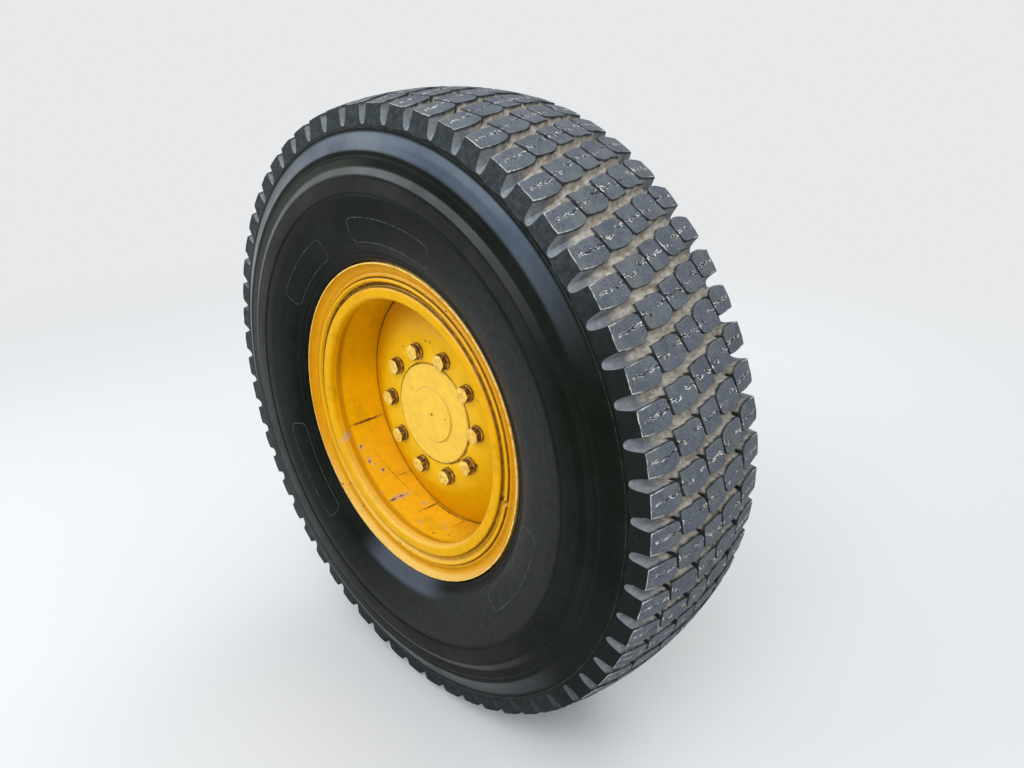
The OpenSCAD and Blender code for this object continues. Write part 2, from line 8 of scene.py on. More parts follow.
import bpy
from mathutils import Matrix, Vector


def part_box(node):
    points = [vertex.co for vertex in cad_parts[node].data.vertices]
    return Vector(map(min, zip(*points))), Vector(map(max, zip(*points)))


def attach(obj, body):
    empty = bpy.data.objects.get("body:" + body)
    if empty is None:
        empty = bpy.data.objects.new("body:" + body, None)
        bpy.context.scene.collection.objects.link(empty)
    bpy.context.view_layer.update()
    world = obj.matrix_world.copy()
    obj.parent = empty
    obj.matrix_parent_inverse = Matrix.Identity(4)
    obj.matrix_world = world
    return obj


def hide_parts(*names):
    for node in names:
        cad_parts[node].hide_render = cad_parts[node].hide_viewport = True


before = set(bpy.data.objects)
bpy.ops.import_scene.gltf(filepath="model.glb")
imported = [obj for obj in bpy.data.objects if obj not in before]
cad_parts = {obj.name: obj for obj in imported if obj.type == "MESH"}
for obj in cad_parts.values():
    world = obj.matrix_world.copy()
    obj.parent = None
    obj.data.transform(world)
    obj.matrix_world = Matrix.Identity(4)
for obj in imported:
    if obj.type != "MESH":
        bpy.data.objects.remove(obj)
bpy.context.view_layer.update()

# Driving dimensions. Lengths are in millimetres, and only the tyre's box, CENTRE_Y and FLOOR_Z are in metres
MM = 0.001
tyre_low, tyre_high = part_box("tyre")
TYRE_R = (tyre_high.x - tyre_low.x) / 2 / MM
CENTRE_Y = (tyre_low.y + tyre_high.y) / 2
FLOOR_Z = tyre_low.z
SHOULDER_R, TREAD_HALF = 657.5, 160
CROWN_R = (TREAD_HALF ** 2 + (TYRE_R - SHOULDER_R) ** 2) / (2 * (TYRE_R - SHOULDER_R))
PITCHES = 59
PITCH_W = math.radians(360 / PITCHES) * TYRE_R
TREAD_ANGLE = 3.35
# Grooves across the tread run aslant to the bend, then nearly straight out
SLANT, BEND_S, SHOULDER_SLANT = 0.2943, 102, 0.103
# The shoulder's side leans out by this much for each millimetre down
SIDE_LEAN = 0.18
# The tops of the blocks start a little under the crown, and fall at their worn edges
TOP_SINK, TOP_EDGE, TOP_FALL = 1.0, 2.3, 0.3
# The ribs of the sidewall's panels are thin rods, sunk a little past their middle
RIB_R, RIB_SINK, RIB_STEP_ANGLE, RIB_CORNER_STEPS = 1.1, 0.25, 1.5, 5
FLANGE_R, FLANGE_S, FLANGE_CURL, LIP_S = 352, 127, 26, 163.5
SEAT_R, TOE_R, TOE_S, BACK_S = 304.8, 301.4, 88, 147
BASE_R, GUTTER_R, LAND_R, NOSE_S = 281, 273.5, 299, 157
SPLIT_ANGLE, SPLIT_W, SPLIT_R = 98, 14, 305
PATCH_FROM, PATCH_TO, PATCH_T = 171.3, 192.5, 2.85
# The disc and the patch stand this far off the rim base, so that no faces coincide
FIT = 0.25
DISC_S, DISC_EDGE_S, DISC_T, DISC_FLAT_R, DISC_BORE_R = 71, 16, 16, 176, 115.5
SCREW_CIRCLE_R, SCREW_ANGLE, SCREWS = 142.875, 17, 10
HEAD_FLATS, HEAD_H, HEAD_CORNER, HEAD_EDGE = 32, 13, 2.6, 0.7
WASHER_R, WASHER_T, WASHER_EDGE = 19.5, 5, 1.0
# Where bare metal begins on the shaft, behind its flange, and on the castings, at their mounting face
SHAFT_BARE_Y, FACE_BARE_Y = -257.5, -0.6
AXLE = (0.0, 1.0, 0.0)
RING_STEPS = 180
# Points nearer to each other than this are merged
MERGE = 0.01


def crown(s):
    """Radius of the tread at a distance from the tyre's centre plane."""
    return TYRE_R - CROWN_R + math.sqrt(CROWN_R ** 2 - s ** 2)


def place(r, s, clock=0.0):
    """The point at a radius, a distance from the centre plane and a clock angle."""
    a = math.radians(clock)
    return Vector((r * math.sin(a) * MM, CENTRE_Y - s * MM, r * math.cos(a) * MM))


# Shader nodes in plain words

class Reading:
    """A number or colour that a shader node gives, with plain arithmetic on it."""

    def __init__(self, tree, socket):
        self.tree, self.socket = tree, socket

    def __add__(self, other):
        return maths("ADD", self, other)

    def __sub__(self, other):
        return maths("SUBTRACT", self, other)

    def __rsub__(self, other):
        return maths("SUBTRACT", other, self)

    def __mul__(self, other):
        return maths("MULTIPLY", self, other)

    def __truediv__(self, other):
        return maths("DIVIDE", self, other)

    def __abs__(self):
        return maths("ABSOLUTE", self)

    def wrap(self, low, high):
        return maths("WRAP", self, high, low)

    def ramp(self, low, high, to_low=0.0, to_high=1.0):
        """Goes smoothly from one number to another while this goes from low to high."""
        node = self.tree.nodes.new("ShaderNodeMapRange")
        node.interpolation_type = "SMOOTHSTEP"
        limits = {"Value": self, "From Min": low, "From Max": high, "To Min": to_low, "To Max": to_high}
        for name, value in limits.items():
            feed(node.inputs[name], value)
        return Reading(self.tree, node.outputs["Result"])

    def band(self, low, high, soft):
        """A mask that is 1 from low to high and fades over a soft width outside them."""
        return self.ramp(low - soft, low) * self.ramp(high, high + soft, 1.0, 0.0)


def feed(socket, value):
    if isinstance(value, Reading):
        value.tree.links.new(value.socket, socket)
    else:
        socket.default_value = value


def home(values):
    """The node tree that the readings among some values come from."""
    return next(value.tree for value in values if isinstance(value, Reading))


def maths(operation, *values):
    tree = home(values)
    node = tree.nodes.new("ShaderNodeMath")
    node.operation = operation
    for socket, value in zip(node.inputs, values):
        feed(socket, value)
    return Reading(tree, node.outputs[0])


def most(first, *others):
    for other in others:
        first = maths("MAXIMUM", first, other)
    return first


def blend(factor, first, second, kind="MIX"):
    tree = home((factor, first, second))
    node = tree.nodes.new("ShaderNodeMix")
    node.data_type = "RGBA"
    node.blend_type = kind
    for socket, value in ((0, factor), (6, first), (7, second)):
        feed(node.inputs[socket], value)
    return Reading(tree, node.outputs[2])


def grey(level):
    """A grey of the given level, to multiply a colour by."""
    node = level.tree.nodes.new("ShaderNodeCombineColor")
    for socket in node.inputs[:3]:
        feed(socket, level)
    return Reading(level.tree, node.outputs[0])


def speckle(tree, scale, detail=3.0, roughness=0.6, shift=0.0):
    """Noise on object coordinates, the scale in patches per metre. A shift gives another pattern."""
    where = tree.nodes.new("ShaderNodeTexCoord").outputs["Object"]
    if shift:
        mapping = tree.nodes.new("ShaderNodeMapping")
        mapping.inputs["Location"].default_value = (shift, shift, shift)
        tree.links.new(where, mapping.inputs["Vector"])
        where = mapping.outputs["Vector"]
    node = tree.nodes.new("ShaderNodeTexNoise")
    node.inputs["Scale"].default_value = scale
    node.inputs["Detail"].default_value = detail
    node.inputs["Roughness"].default_value = roughness
    tree.links.new(where, node.inputs["Vector"])
    return Reading(tree, node.outputs["Fac"])


def axes(tree, kind):
    """X, Y and Z of a texture coordinate, such as Object or Normal."""
    split = tree.nodes.new("ShaderNodeSeparateXYZ")
    tree.links.new(tree.nodes.new("ShaderNodeTexCoord").outputs[kind], split.inputs[0])
    return [Reading(tree, socket) for socket in split.outputs]


def attribute(tree, name):
    node = tree.nodes.new("ShaderNodeAttribute")
    node.attribute_name = name
    return Reading(tree, node.outputs["Fac"])


def new_group(name, inputs, outputs):
    """An empty node group with named sockets, as (group, readings of its inputs, its outputs)."""
    group = bpy.data.node_groups.new(name, "ShaderNodeTree")
    for label, value in inputs.items():
        kind = "NodeSocketColor" if isinstance(value, tuple) else "NodeSocketFloat"
        group.interface.new_socket(label, in_out="INPUT", socket_type=kind).default_value = value
    for label in outputs:
        kind = "NodeSocketColor" if label == "Color" else "NodeSocketFloat"
        group.interface.new_socket(label, in_out="OUTPUT", socket_type=kind)
    given = {socket.name: Reading(group, socket) for socket in group.nodes.new("NodeGroupInput").outputs}
    return group, given, group.nodes.new("NodeGroupOutput").inputs


def use(tree, group, **values):
    """Places a group, its inputs named by keyword with an underscore for a space, and gives its outputs."""
    node = tree.nodes.new("ShaderNodeGroup")
    node.node_tree = group
    for name, value in values.items():
        feed(node.inputs[name.replace("_", " ")], value)
    return {socket.name: Reading(tree, socket) for socket in node.outputs}


def start_material(name):
    material = bpy.data.materials.new(name)
    material.use_nodes = True
    tree = material.node_tree
    return material, tree, tree.nodes["Principled BSDF"]


def finish(shader, colour, rough, height, distance):
    """Gives a shader its colour, roughness and bump, whose distance is in metres."""
    feed(shader.inputs["Base Color"], colour)
    feed(shader.inputs["Roughness"], rough)
    node = height.tree.nodes.new("ShaderNodeBump")
    node.inputs["Distance"].default_value = distance
    feed(node.inputs["Height"], height)
    height.tree.links.new(node.outputs["Normal"], shader.inputs["Normal"])


# Camera, floor and light

def stage_view():
    camera_data = bpy.data.cameras.new("camera")
    camera = bpy.data.objects.new("camera", camera_data)
    bpy.context.scene.collection.objects.link(camera)
    # The photo's viewpoint, from the fit of the rim, the screws and the tread
    camera.location = Vector((1.342, CENTRE_Y - 1.150, 0.811))
    forward = Vector((-0.6547, 0.6436, -0.3964))
    camera.rotation_euler = forward.to_track_quat("-Z", "Y").to_euler()
    camera_data.lens = 30.4
    camera_data.sensor_width = 36
    camera_data.clip_end = 200
    bpy.context.scene.camera = camera


def in_view(tree):
    """1 for rays from the camera, also after a reflection or through glass."""
    path = tree.nodes.new("ShaderNodeLightPath")
    return most(*[Reading(tree, path.outputs["Is %s Ray" % kind]) for kind in ("Camera", "Glossy", "Transmission")])


def mix_shaders(factor, plain, seen, output):
    tree = factor.tree
    mix = tree.nodes.new("ShaderNodeMixShader")
    feed(mix.inputs["Fac"], factor)
    tree.links.new(plain.outputs[0], mix.inputs[1])
    tree.links.new(seen.outputs[0], mix.inputs[2])
    tree.links.new(mix.outputs["Shader"], output.inputs["Surface"])


def stage_floor():
    """A pale floor that keeps the wheel's shadow and turns into an even backdrop further out."""
    bpy.ops.mesh.primitive_plane_add(size=120, location=(0, 0, FLOOR_Z))
    floor = bpy.context.object
    floor.name = "floor"
    material, tree, shader = start_material("floor_paint")
    shader.inputs["Base Color"].default_value = (0.74, 0.745, 0.75, 1)
    shader.inputs["Roughness"].default_value = 0.9
    even = tree.nodes.new("ShaderNodeEmission")
    even.inputs["Color"].default_value = (0.80, 0.81, 0.82, 1)
    reach = tree.nodes.new("ShaderNodeVectorMath")
    reach.operation = "LENGTH"
    tree.links.new(tree.nodes.new("ShaderNodeTexCoord").outputs["Object"], reach.inputs[0])
    far = Reading(tree, reach.outputs["Value"]).ramp(1.6, 4.2)
    mix_shaders(in_view(tree) * far, shader, even, tree.nodes["Material Output"])
    floor.data.materials.append(material)


def soft_lamp(name, location, target, size, power, colour=(1, 1, 1)):
    data = bpy.data.lights.new(name, "AREA")
    data.shape = "SQUARE"
    data.size = size
    data.energy = power
    data.color = colour
    lamp = bpy.data.objects.new(name, data)
    bpy.context.scene.collection.objects.link(lamp)
    lamp.location = location
    lamp.rotation_euler = (Vector(target) - Vector(location)).to_track_quat("-Z", "Y").to_euler()


def stage_light():
    """An overcast sky: brightest overhead, greyer at the horizon."""
    world = bpy.data.worlds.new("overcast")
    bpy.context.scene.world = world
    world.use_nodes = True
    tree = world.node_tree
    tree.nodes.clear()
    height = axes(tree, "Generated")[2].ramp(0.0, 0.8)
    skies = []
    for horizon, overhead in (((0.24, 0.25, 0.26, 1), (0.94, 0.98, 1.0, 1)),
                              ((0.80, 0.81, 0.82, 1), (0.97, 0.985, 1.0, 1))):
        sky = tree.nodes.new("ShaderNodeBackground")
        feed(sky.inputs["Color"], blend(height, horizon, overhead))
        sky.inputs["Strength"].default_value = 1.0
        skies.append(sky)
    mix_shaders(in_view(tree), *skies, tree.nodes.new("ShaderNodeOutputWorld"))
    middle = (0, CENTRE_Y, 0)
    soft_lamp("key", (1.7, -3.0, 2.7), middle, 2.4, 80)
    # Bright low sky, which shines in the upper part of the sidewall
    soft_lamp("front", (-1.75, -3.3, 1.4), (0.2, CENTRE_Y, 0.3), 1.5, 24, (0.80, 0.90, 1.0))
    soft_lamp("left", (-2.6, -1.95, 1.55), middle, 1.1, 9, (0.80, 0.90, 1.0))
    soft_lamp("rear", (-1.6, 3.4, 2.6), middle, 2.6, 45)
    bpy.context.scene.view_settings.view_transform = "Standard"


# Effects that several finishes share

def wheel_place_group():
    """Where a point lies on the wheel: radius and distance from the centre plane in mm, and clock angle."""
    group, _, out = new_group("wheel_place", {}, ("R", "S", "Clock"))
    x, y, z = axes(group, "Object")
    feed(out["R"], maths("SQRT", x * x + z * z) * 1000.0)
    feed(out["S"], (CENTRE_Y - y) * 1000.0)
    feed(out["Clock"], maths("DEGREES", maths("ARCTAN2", x, z)).wrap(0.0, 360.0))
    return group


def paint_mark_group():
    """A ragged mark of a given size at a place on the paint. Across is measured from the mark's middle line,
    which climbs by Slope for each degree. Around is a wider, softer mask, its halo."""
    group, given, out = new_group(
        "paint_mark", {"Clock": 0.0, "Across": 0.0, "At Clock": 0.0, "At Across": 0.0, "Half Angle": 1.0,
                       "Half Width": 2.0, "Slope": 0.0, "Halo": 0.5}, ("Mark", "Around"))
    turn = (given["Clock"] - given["At Clock"]).wrap(-180.0, 180.0)
    off = given["Across"] - given["At Across"] - turn * given["Slope"]
    along = abs(turn) / given["Half Angle"]
    side = abs(off) / given["Half Width"]
    reach = maths("SQRT", along * along + side * side) + (speckle(group, 90, 5, 0.8) - 0.5) * 2.6
    holes = speckle(group, 300, 3, 0.7, shift=4.0).ramp(0.42, 0.52, 0.45, 1.0)
    feed(out["Mark"], reach.ramp(0.80, 1.0, 1.0, 0.0) * holes)
    feed(out["Around"], (reach / (given["Halo"] + 1.0)).ramp(0.65, 1.1, 1.0, 0.0))
    return group


def worn_paint_group():
    """Sun-faded enamel with an orange-peel skin, dirt and painted shade in the pores, paler paint on what faces up
    that is partly dust and partly painted light, scattered chips and worn edges.
    """
    group, given, out = new_group(
        "worn_paint", {"Paint": (0.80, 0.42, 0.002, 1), "Faded": (0.87, 0.50, 0.01, 1), "Fading": 0.35,
                       "Chips": 0.5, "Wear": 0.0, "DirtAndShade": 0.0, "DustAndToplight": 0.36}, ("Color", "Roughness", "Height"))
    fade = (speckle(group, 5, 3, 0.55) + (given["Fading"] - 0.5)).ramp(0.38, 0.72)
    colour = blend(fade, given["Paint"], given["Faded"])
    mottle = speckle(group, 46, 5, 0.7).ramp(0.3, 0.7, 0.93, 1.04)
    colour = blend(1.0, colour, grey(mottle), "MULTIPLY")
    # What faces up is paler, partly fine dust and partly painted light from above; dirt and painted shade sit in the
    # pores
    dust_and_toplight = axes(group, "Normal")[2].ramp(0.15, 0.9) * given["DustAndToplight"]
    colour = blend(dust_and_toplight, colour, (0.92, 0.68, 0.22, 1))
    grime_and_shade = given["DirtAndShade"] * speckle(group, 60, 5, 0.75).ramp(0.25, 0.6, 0.55, 1.0)
    colour = blend(grime_and_shade, colour, (0.085, 0.040, 0.012, 1))
    # Scattered stone chips: primer first, rust in their middle
    where = speckle(group, 9, 2, 0.5, shift=7.0).ramp(0.46, 0.64)
    pit = speckle(group, 150, 2, 0.5, shift=3.0) - (0.81 - where * given["Chips"] * 0.17)
    # Worn edges: ragged, with a pale rim of thin paint round the bare primer
    ragged = given["Wear"] + (speckle(group, 95, 4, 0.7) - 0.5) * 1.1
    colour = blend(ragged.ramp(0.35, 0.60), colour, (0.91, 0.63, 0.20, 1))
    bare = most(ragged.ramp(0.72, 0.82), pit.ramp(-0.012, 0.008))
    colour = blend(bare, colour, (0.27, 0.17, 0.13, 1))
    deep = most(pit.ramp(0.012, 0.035), ragged.ramp(0.92, 1.02))
    feed(out["Color"], blend(deep, colour, (0.10, 0.035, 0.014, 1)))
    rough = speckle(group, 30, 4, 0.65).ramp(0.3, 0.7, 0.34, 0.50)
    feed(out["Roughness"], rough + most(grime_and_shade, deep) * 0.35)
    feed(out["Height"], speckle(group, 320, 2, 0.5) * 0.10 + bare * -0.5)
    return group


# Finishes

# Marks on the rim's wall, as clock angle, distance s, half angle, half width and slope
RUST_MARKS = [
    (205.5, 106, 0.55, 9, 0), (205.6, 84, 0.35, 8, 0), (222, 83, 0.75, 3.4, 0), (248, 74, 0.55, 34, 0),
    (166, 95, 0.4, 2.2, 0), (175, 105, 0.5, 2.4, 0), (228.5, 105, 0.6, 2.6, 0), (237, 110, 0.5, 2.2, 0),
    (171.2, 40, 0.35, 20, 0), (192.6, 42, 0.4, 22, 0), (216, 40, 0.15, 20, 0), (217, 62.5, 12, 0.5, 1.04),
    (184, 22, 9.5, 1.6, 0)]
PRIMER_MARKS = [
    (205.6, 86, 1.9, 31, 0), (244.5, 138, 2.4, 13, 0), (243, 150, 1.6, 6, 0), (229, 104, 2.0, 8, 0),
    (236.5, 108, 1.8, 6, 0), (222, 84, 1.5, 7.5, 0), (226, 94, 1.0, 4.5, 0), (196, 50, 1.3, 7, 0),
    (178, 60, 2.4, 3.6, 0), (174, 74, 3.2, 2.6, 0), (186, 98, 1.6, 3.2, 0), (212, 122, 0.9, 4, 0)]
# Marks on the disc and on the shaft's pilot, with a radius in the place of s
DISC_MARKS = [
    (-6.5, 166, 1.1, 2.8, 0), (-1.5, 166, 0.9, 2.4, 0), (119, 156, 1.8, 5, 0), (323, 165, 0.9, 2.2, 0),
    (122, 163, 0.7, 2.0, 0), (70, 205, 0.35, 1.6, 0)]
PILOT_MARKS = [(85, 45, 3.0, 2.4, 0), (300, 80, 1.2, 1.5, 0)]


def marks(tree, mark, clock, across, listed, halo):
    """The strongest of the listed marks at each point, as (mark, halo)."""
    made = [use(tree, mark, Clock=clock, Across=across, At_Clock=at_clock, At_Across=at, Half_Angle=half_angle,
                Half_Width=half_width, Slope=slope, Halo=halo)
            for at_clock, at, half_angle, half_width, slope in listed]
    return most(*[one["Mark"] for one in made]), most(*[one["Around"] for one in made])


def side_ring_coat(tree, r, s, clock):
    """A darker orange than the other paint, as painted shade, worn at its lip, with painted shade in its hollow and
    beside the lock ring.
    """
    lip = r.ramp(347.4, 349.6) * s.ramp(160.0, 162.6)
    # The darker orange paint and the dark bands by the lock ring and in the hollow are painted shade
    return dict(Paint=(0.66, 0.288, 0.001, 1), Faded=(0.74, 0.350, 0.002, 1), Chips=1.0, DustAndToplight=0.6, Wear=lip * 0.55,
                DirtAndShade=most(r.ramp(319.6, 321.8, 1.0, 0.0) * 0.9, r.band(328.5, 331.5, 4.0) * 0.22))


def lock_ring_coat(tree, r, s, clock):
    """Worn on its crest, with painted shade at both its edges and in its valley, most on the left and at the top."""
    # Painted shade at both edges and in the valley, the valley's darkest on the left and at the top
    shade_side = most(clock.ramp(215.0, 250.0), clock.ramp(15.0, 45.0, 1.0, 0.0)).ramp(0.0, 1.0, 0.40, 0.95)
    valley = r.band(302.0, 308.6, 1.6) * shade_side
    edges = most(r.ramp(299.5, 302.0, 1.0, 0.0) * 0.9, r.ramp(317.2, 318.6) * 0.85)
    return dict(Paint=(0.74, 0.340, 0.001, 1), Faded=(0.82, 0.415, 0.003, 1), Fading=0.6, Chips=0.7,
                Wear=r.band(314.0, 316.4, 1.5) * 0.22, DirtAndShade=most(edges, valley))


def rim_base_coat(tree, r, s, clock):
    """Painted shade along the disc's weld, in the cove of the gutter and under the rings, stains in patches, and
    palest at the lower left, where light is painted on the wall.
    """
    # Painted shade in the weld's crevice, the cove and the gap under the rings; the stain is real dirt
    weld = s.band(13.5, 17.0, 2.2) * 0.75
    cove = s.band(121.0, 134.0, 6.0) * 0.30
    gap = r.ramp(297.0, 298.0) * s.band(130.0, 150.5, 4.0) * 0.85
    stain = speckle(tree, 13, 5, 0.7, shift=4.0).ramp(0.50, 0.72) * 0.24
    # Painted light: the wall's paint is paler at the lower left, where light falls on it
    lit_low_left = clock.band(185.0, 262.0, 25.0)
    wall = blend(lit_low_left, (0.78, 0.415, 0.001, 1), (0.94, 0.520, 0.002, 1))
    paint = blend(s.ramp(134.0, 148.0), wall, (0.77, 0.385, 0.001, 1))
    return dict(Paint=paint, Faded=(0.84, 0.450, 0.002, 1), DustAndToplight=s.ramp(134.0, 148.0, 0.06, 0.42),
                Wear=r.band(293.5, 297.0, 1.5) * s.ramp(153.0, 156.0, 0.0, 0.22), DirtAndShade=most(weld, cove, gap, stain))


def disc_coat(tree, r, s, clock):
    """Paler towards the middle, with painted shade at the weld and round the pilot, most on its right, where the
    pilot's shadow is painted.
    """
    patchy = speckle(tree, 26, 4, 0.7, shift=8.0).ramp(0.32, 0.62, 0.25, 1.0)
    # Painted shadow of the pilot, in ragged patches, strongest on its right
    right = r.band(112.0, 119.0, 1.8) * clock.band(25.0, 135.0, 25.0)
    pilot = most(r.band(112.0, 117.0, 2.0) * patchy, right * patchy.ramp(0.3, 0.7, 0.5, 1.0))
    return dict(Paint=(0.77, 0.400, 0.001, 1), Faded=(0.87, 0.475, 0.010, 1), Chips=0.35,
                Fading=r.ramp(110.0, 235.0, 0.75, 0.25), DirtAndShade=most(r.ramp(277.6, 280.0) * 0.8, pilot * 0.85))


def hub_coat(tree, r, s, clock):
    """The palest yellow, with dirt in the pilot's turned ring and its centre hole."""
    return dict(Paint=(0.86, 0.515, 0.050, 1), Faded=(0.88, 0.545, 0.065, 1), Fading=0.85, Chips=0.3,
                Wear=r.ramp(112.0, 114.0) * 0.30,
                DirtAndShade=most(r.band(62.2, 63.6, 1.2) * 0.28, r.ramp(2.5, 4.5, 1.0, 0.0) * 0.8))


def casting_coat(tree, r, s, clock):
    return dict(Paint=(0.72, 0.37, 0.004, 1), Faded=(0.80, 0.45, 0.03, 1), Fading=0.3, Chips=0.7,
                DirtAndShade=speckle(tree, 7, 4, 0.6, shift=5.0).ramp(0.42, 0.66) * 0.6)


COATS = {"side_ring_paint": side_ring_coat, "lock_ring_paint": lock_ring_coat, "rim_base_paint": rim_base_coat,
         "disc_paint": disc_coat, "hub_paint": hub_coat, "casting_paint": casting_coat}


def yellow_material(name, groups):
    """The wheel's yellow paint, with the coat that its name asks for and the marks on its piece."""
    material, tree, shader = start_material(name)
    at = use(tree, groups["place"])
    coat = use(tree, groups["paint"], **COATS[name](tree, at["R"], at["S"], at["Clock"]))
    colour, rough, height = coat["Color"], coat["Roughness"], coat["Height"]
    rust = None
    if name == "rim_base_paint":
        rust, around = marks(tree, groups["mark"], at["Clock"], at["S"], RUST_MARKS, 0.8)
        primer, _ = marks(tree, groups["mark"], at["Clock"], at["S"], PRIMER_MARKS, 0.35)
        colour = blend(around * 0.42, colour, (0.30, 0.13, 0.03, 1))
        colour = blend(primer * 0.72, colour, (0.52, 0.42, 0.34, 1))
    elif name in ("disc_paint", "hub_paint"):
        listed = DISC_MARKS if name == "disc_paint" else PILOT_MARKS
        rust, around = marks(tree, groups["mark"], at["Clock"], at["R"], listed, 0.6)
        colour = blend(around * 0.35, colour, (0.45, 0.20, 0.04, 1))
    if rust:
        colour = blend(rust, colour, (0.090, 0.026, 0.012, 1))
        rough = rough + rust * 0.3
        height = height - rust * 0.6
    if name in ("hub_paint", "casting_paint"):
        # Machined faces and journals stay bare
        y = axes(tree, "Object")[1]
        if name == "hub_paint":
            bare = y.ramp(SHAFT_BARE_Y * MM, (SHAFT_BARE_Y + 0.5) * MM)
        else:
            bare = y.ramp(FACE_BARE_Y * MM, FACE_BARE_Y / 2 * MM)
        stained = speckle(tree, 40, 5, 0.7).ramp(0.3, 0.75)
        colour = blend(bare, colour, blend(stained, (0.40, 0.39, 0.37, 1), (0.30, 0.28, 0.25, 1)))
        rough = rough - bare * 0.08
        feed(shader.inputs["Metallic"], bare * 0.9)
    shader.inputs["Specular IOR Level"].default_value = 0.07
    finish(shader, colour, rough, height, 0.0012 if name == "casting_paint" else 0.0006)
    return material


def screw_material(name):
    """Screw heads and washers: pale yellow left on the end faces, rust and old thread oil on the flanks."""
    material, tree, shader = start_material(name)
    face_on = axes(tree, "Normal")[1].ramp(-0.97, -0.80, 1.0, 0.0)
    blotch = speckle(tree, 90, 5, 0.75)
    if name == "washer_paint":
        paint = blend(blotch.ramp(0.40, 0.60), (0.30, 0.13, 0.02, 1), (0.78, 0.42, 0.02, 1))
    else:
        paint = blend(blotch.ramp(0.38, 0.66), (0.74, 0.38, 0.02, 1), (0.95, 0.70, 0.15, 1))
    left = speckle(tree, 120, 5, 0.8, shift=2.0).ramp(0.47, 0.66)
    colour = blend(face_on, blend(left, (0.060, 0.024, 0.009, 1), (0.62, 0.32, 0.03, 1)), paint)
    chip = speckle(tree, 260, 4, 0.7, shift=9.0).ramp(0.60, 0.66)
    colour = blend(chip * 0.85, colour, (0.10, 0.045, 0.02, 1))
    finish(shader, colour, blotch.ramp(0.3, 0.7, 0.40, 0.70), blotch - chip * 0.7, 0.0007)
    return material


def metal_material(name, light, dark, rough_low, rough_high, scale=70):
    """Plated, brass or machined metal with stains."""
    material, tree, shader = start_material(name)
    stain = speckle(tree, scale, 5, 0.7).ramp(0.32, 0.70)
    shader.inputs["Metallic"].default_value = 0.85
    finish(shader, blend(stain, light, dark), stain.ramp(0.0, 1.0, rough_low, rough_high),
           speckle(tree, 300, 3, 0.6), 0.0002)
    return material


def plastic_material():
    material, tree, shader = start_material("cap_plastic")
    dust = speckle(tree, 80, 4, 0.7).ramp(0.45, 0.75)
    finish(shader, blend(dust, (0.012, 0.012, 0.013, 1), (0.10, 0.085, 0.06, 1)), dust.ramp(0.0, 1.0, 0.38, 0.75),
           speckle(tree, 260, 2, 0.5), 0.0002)
    return material


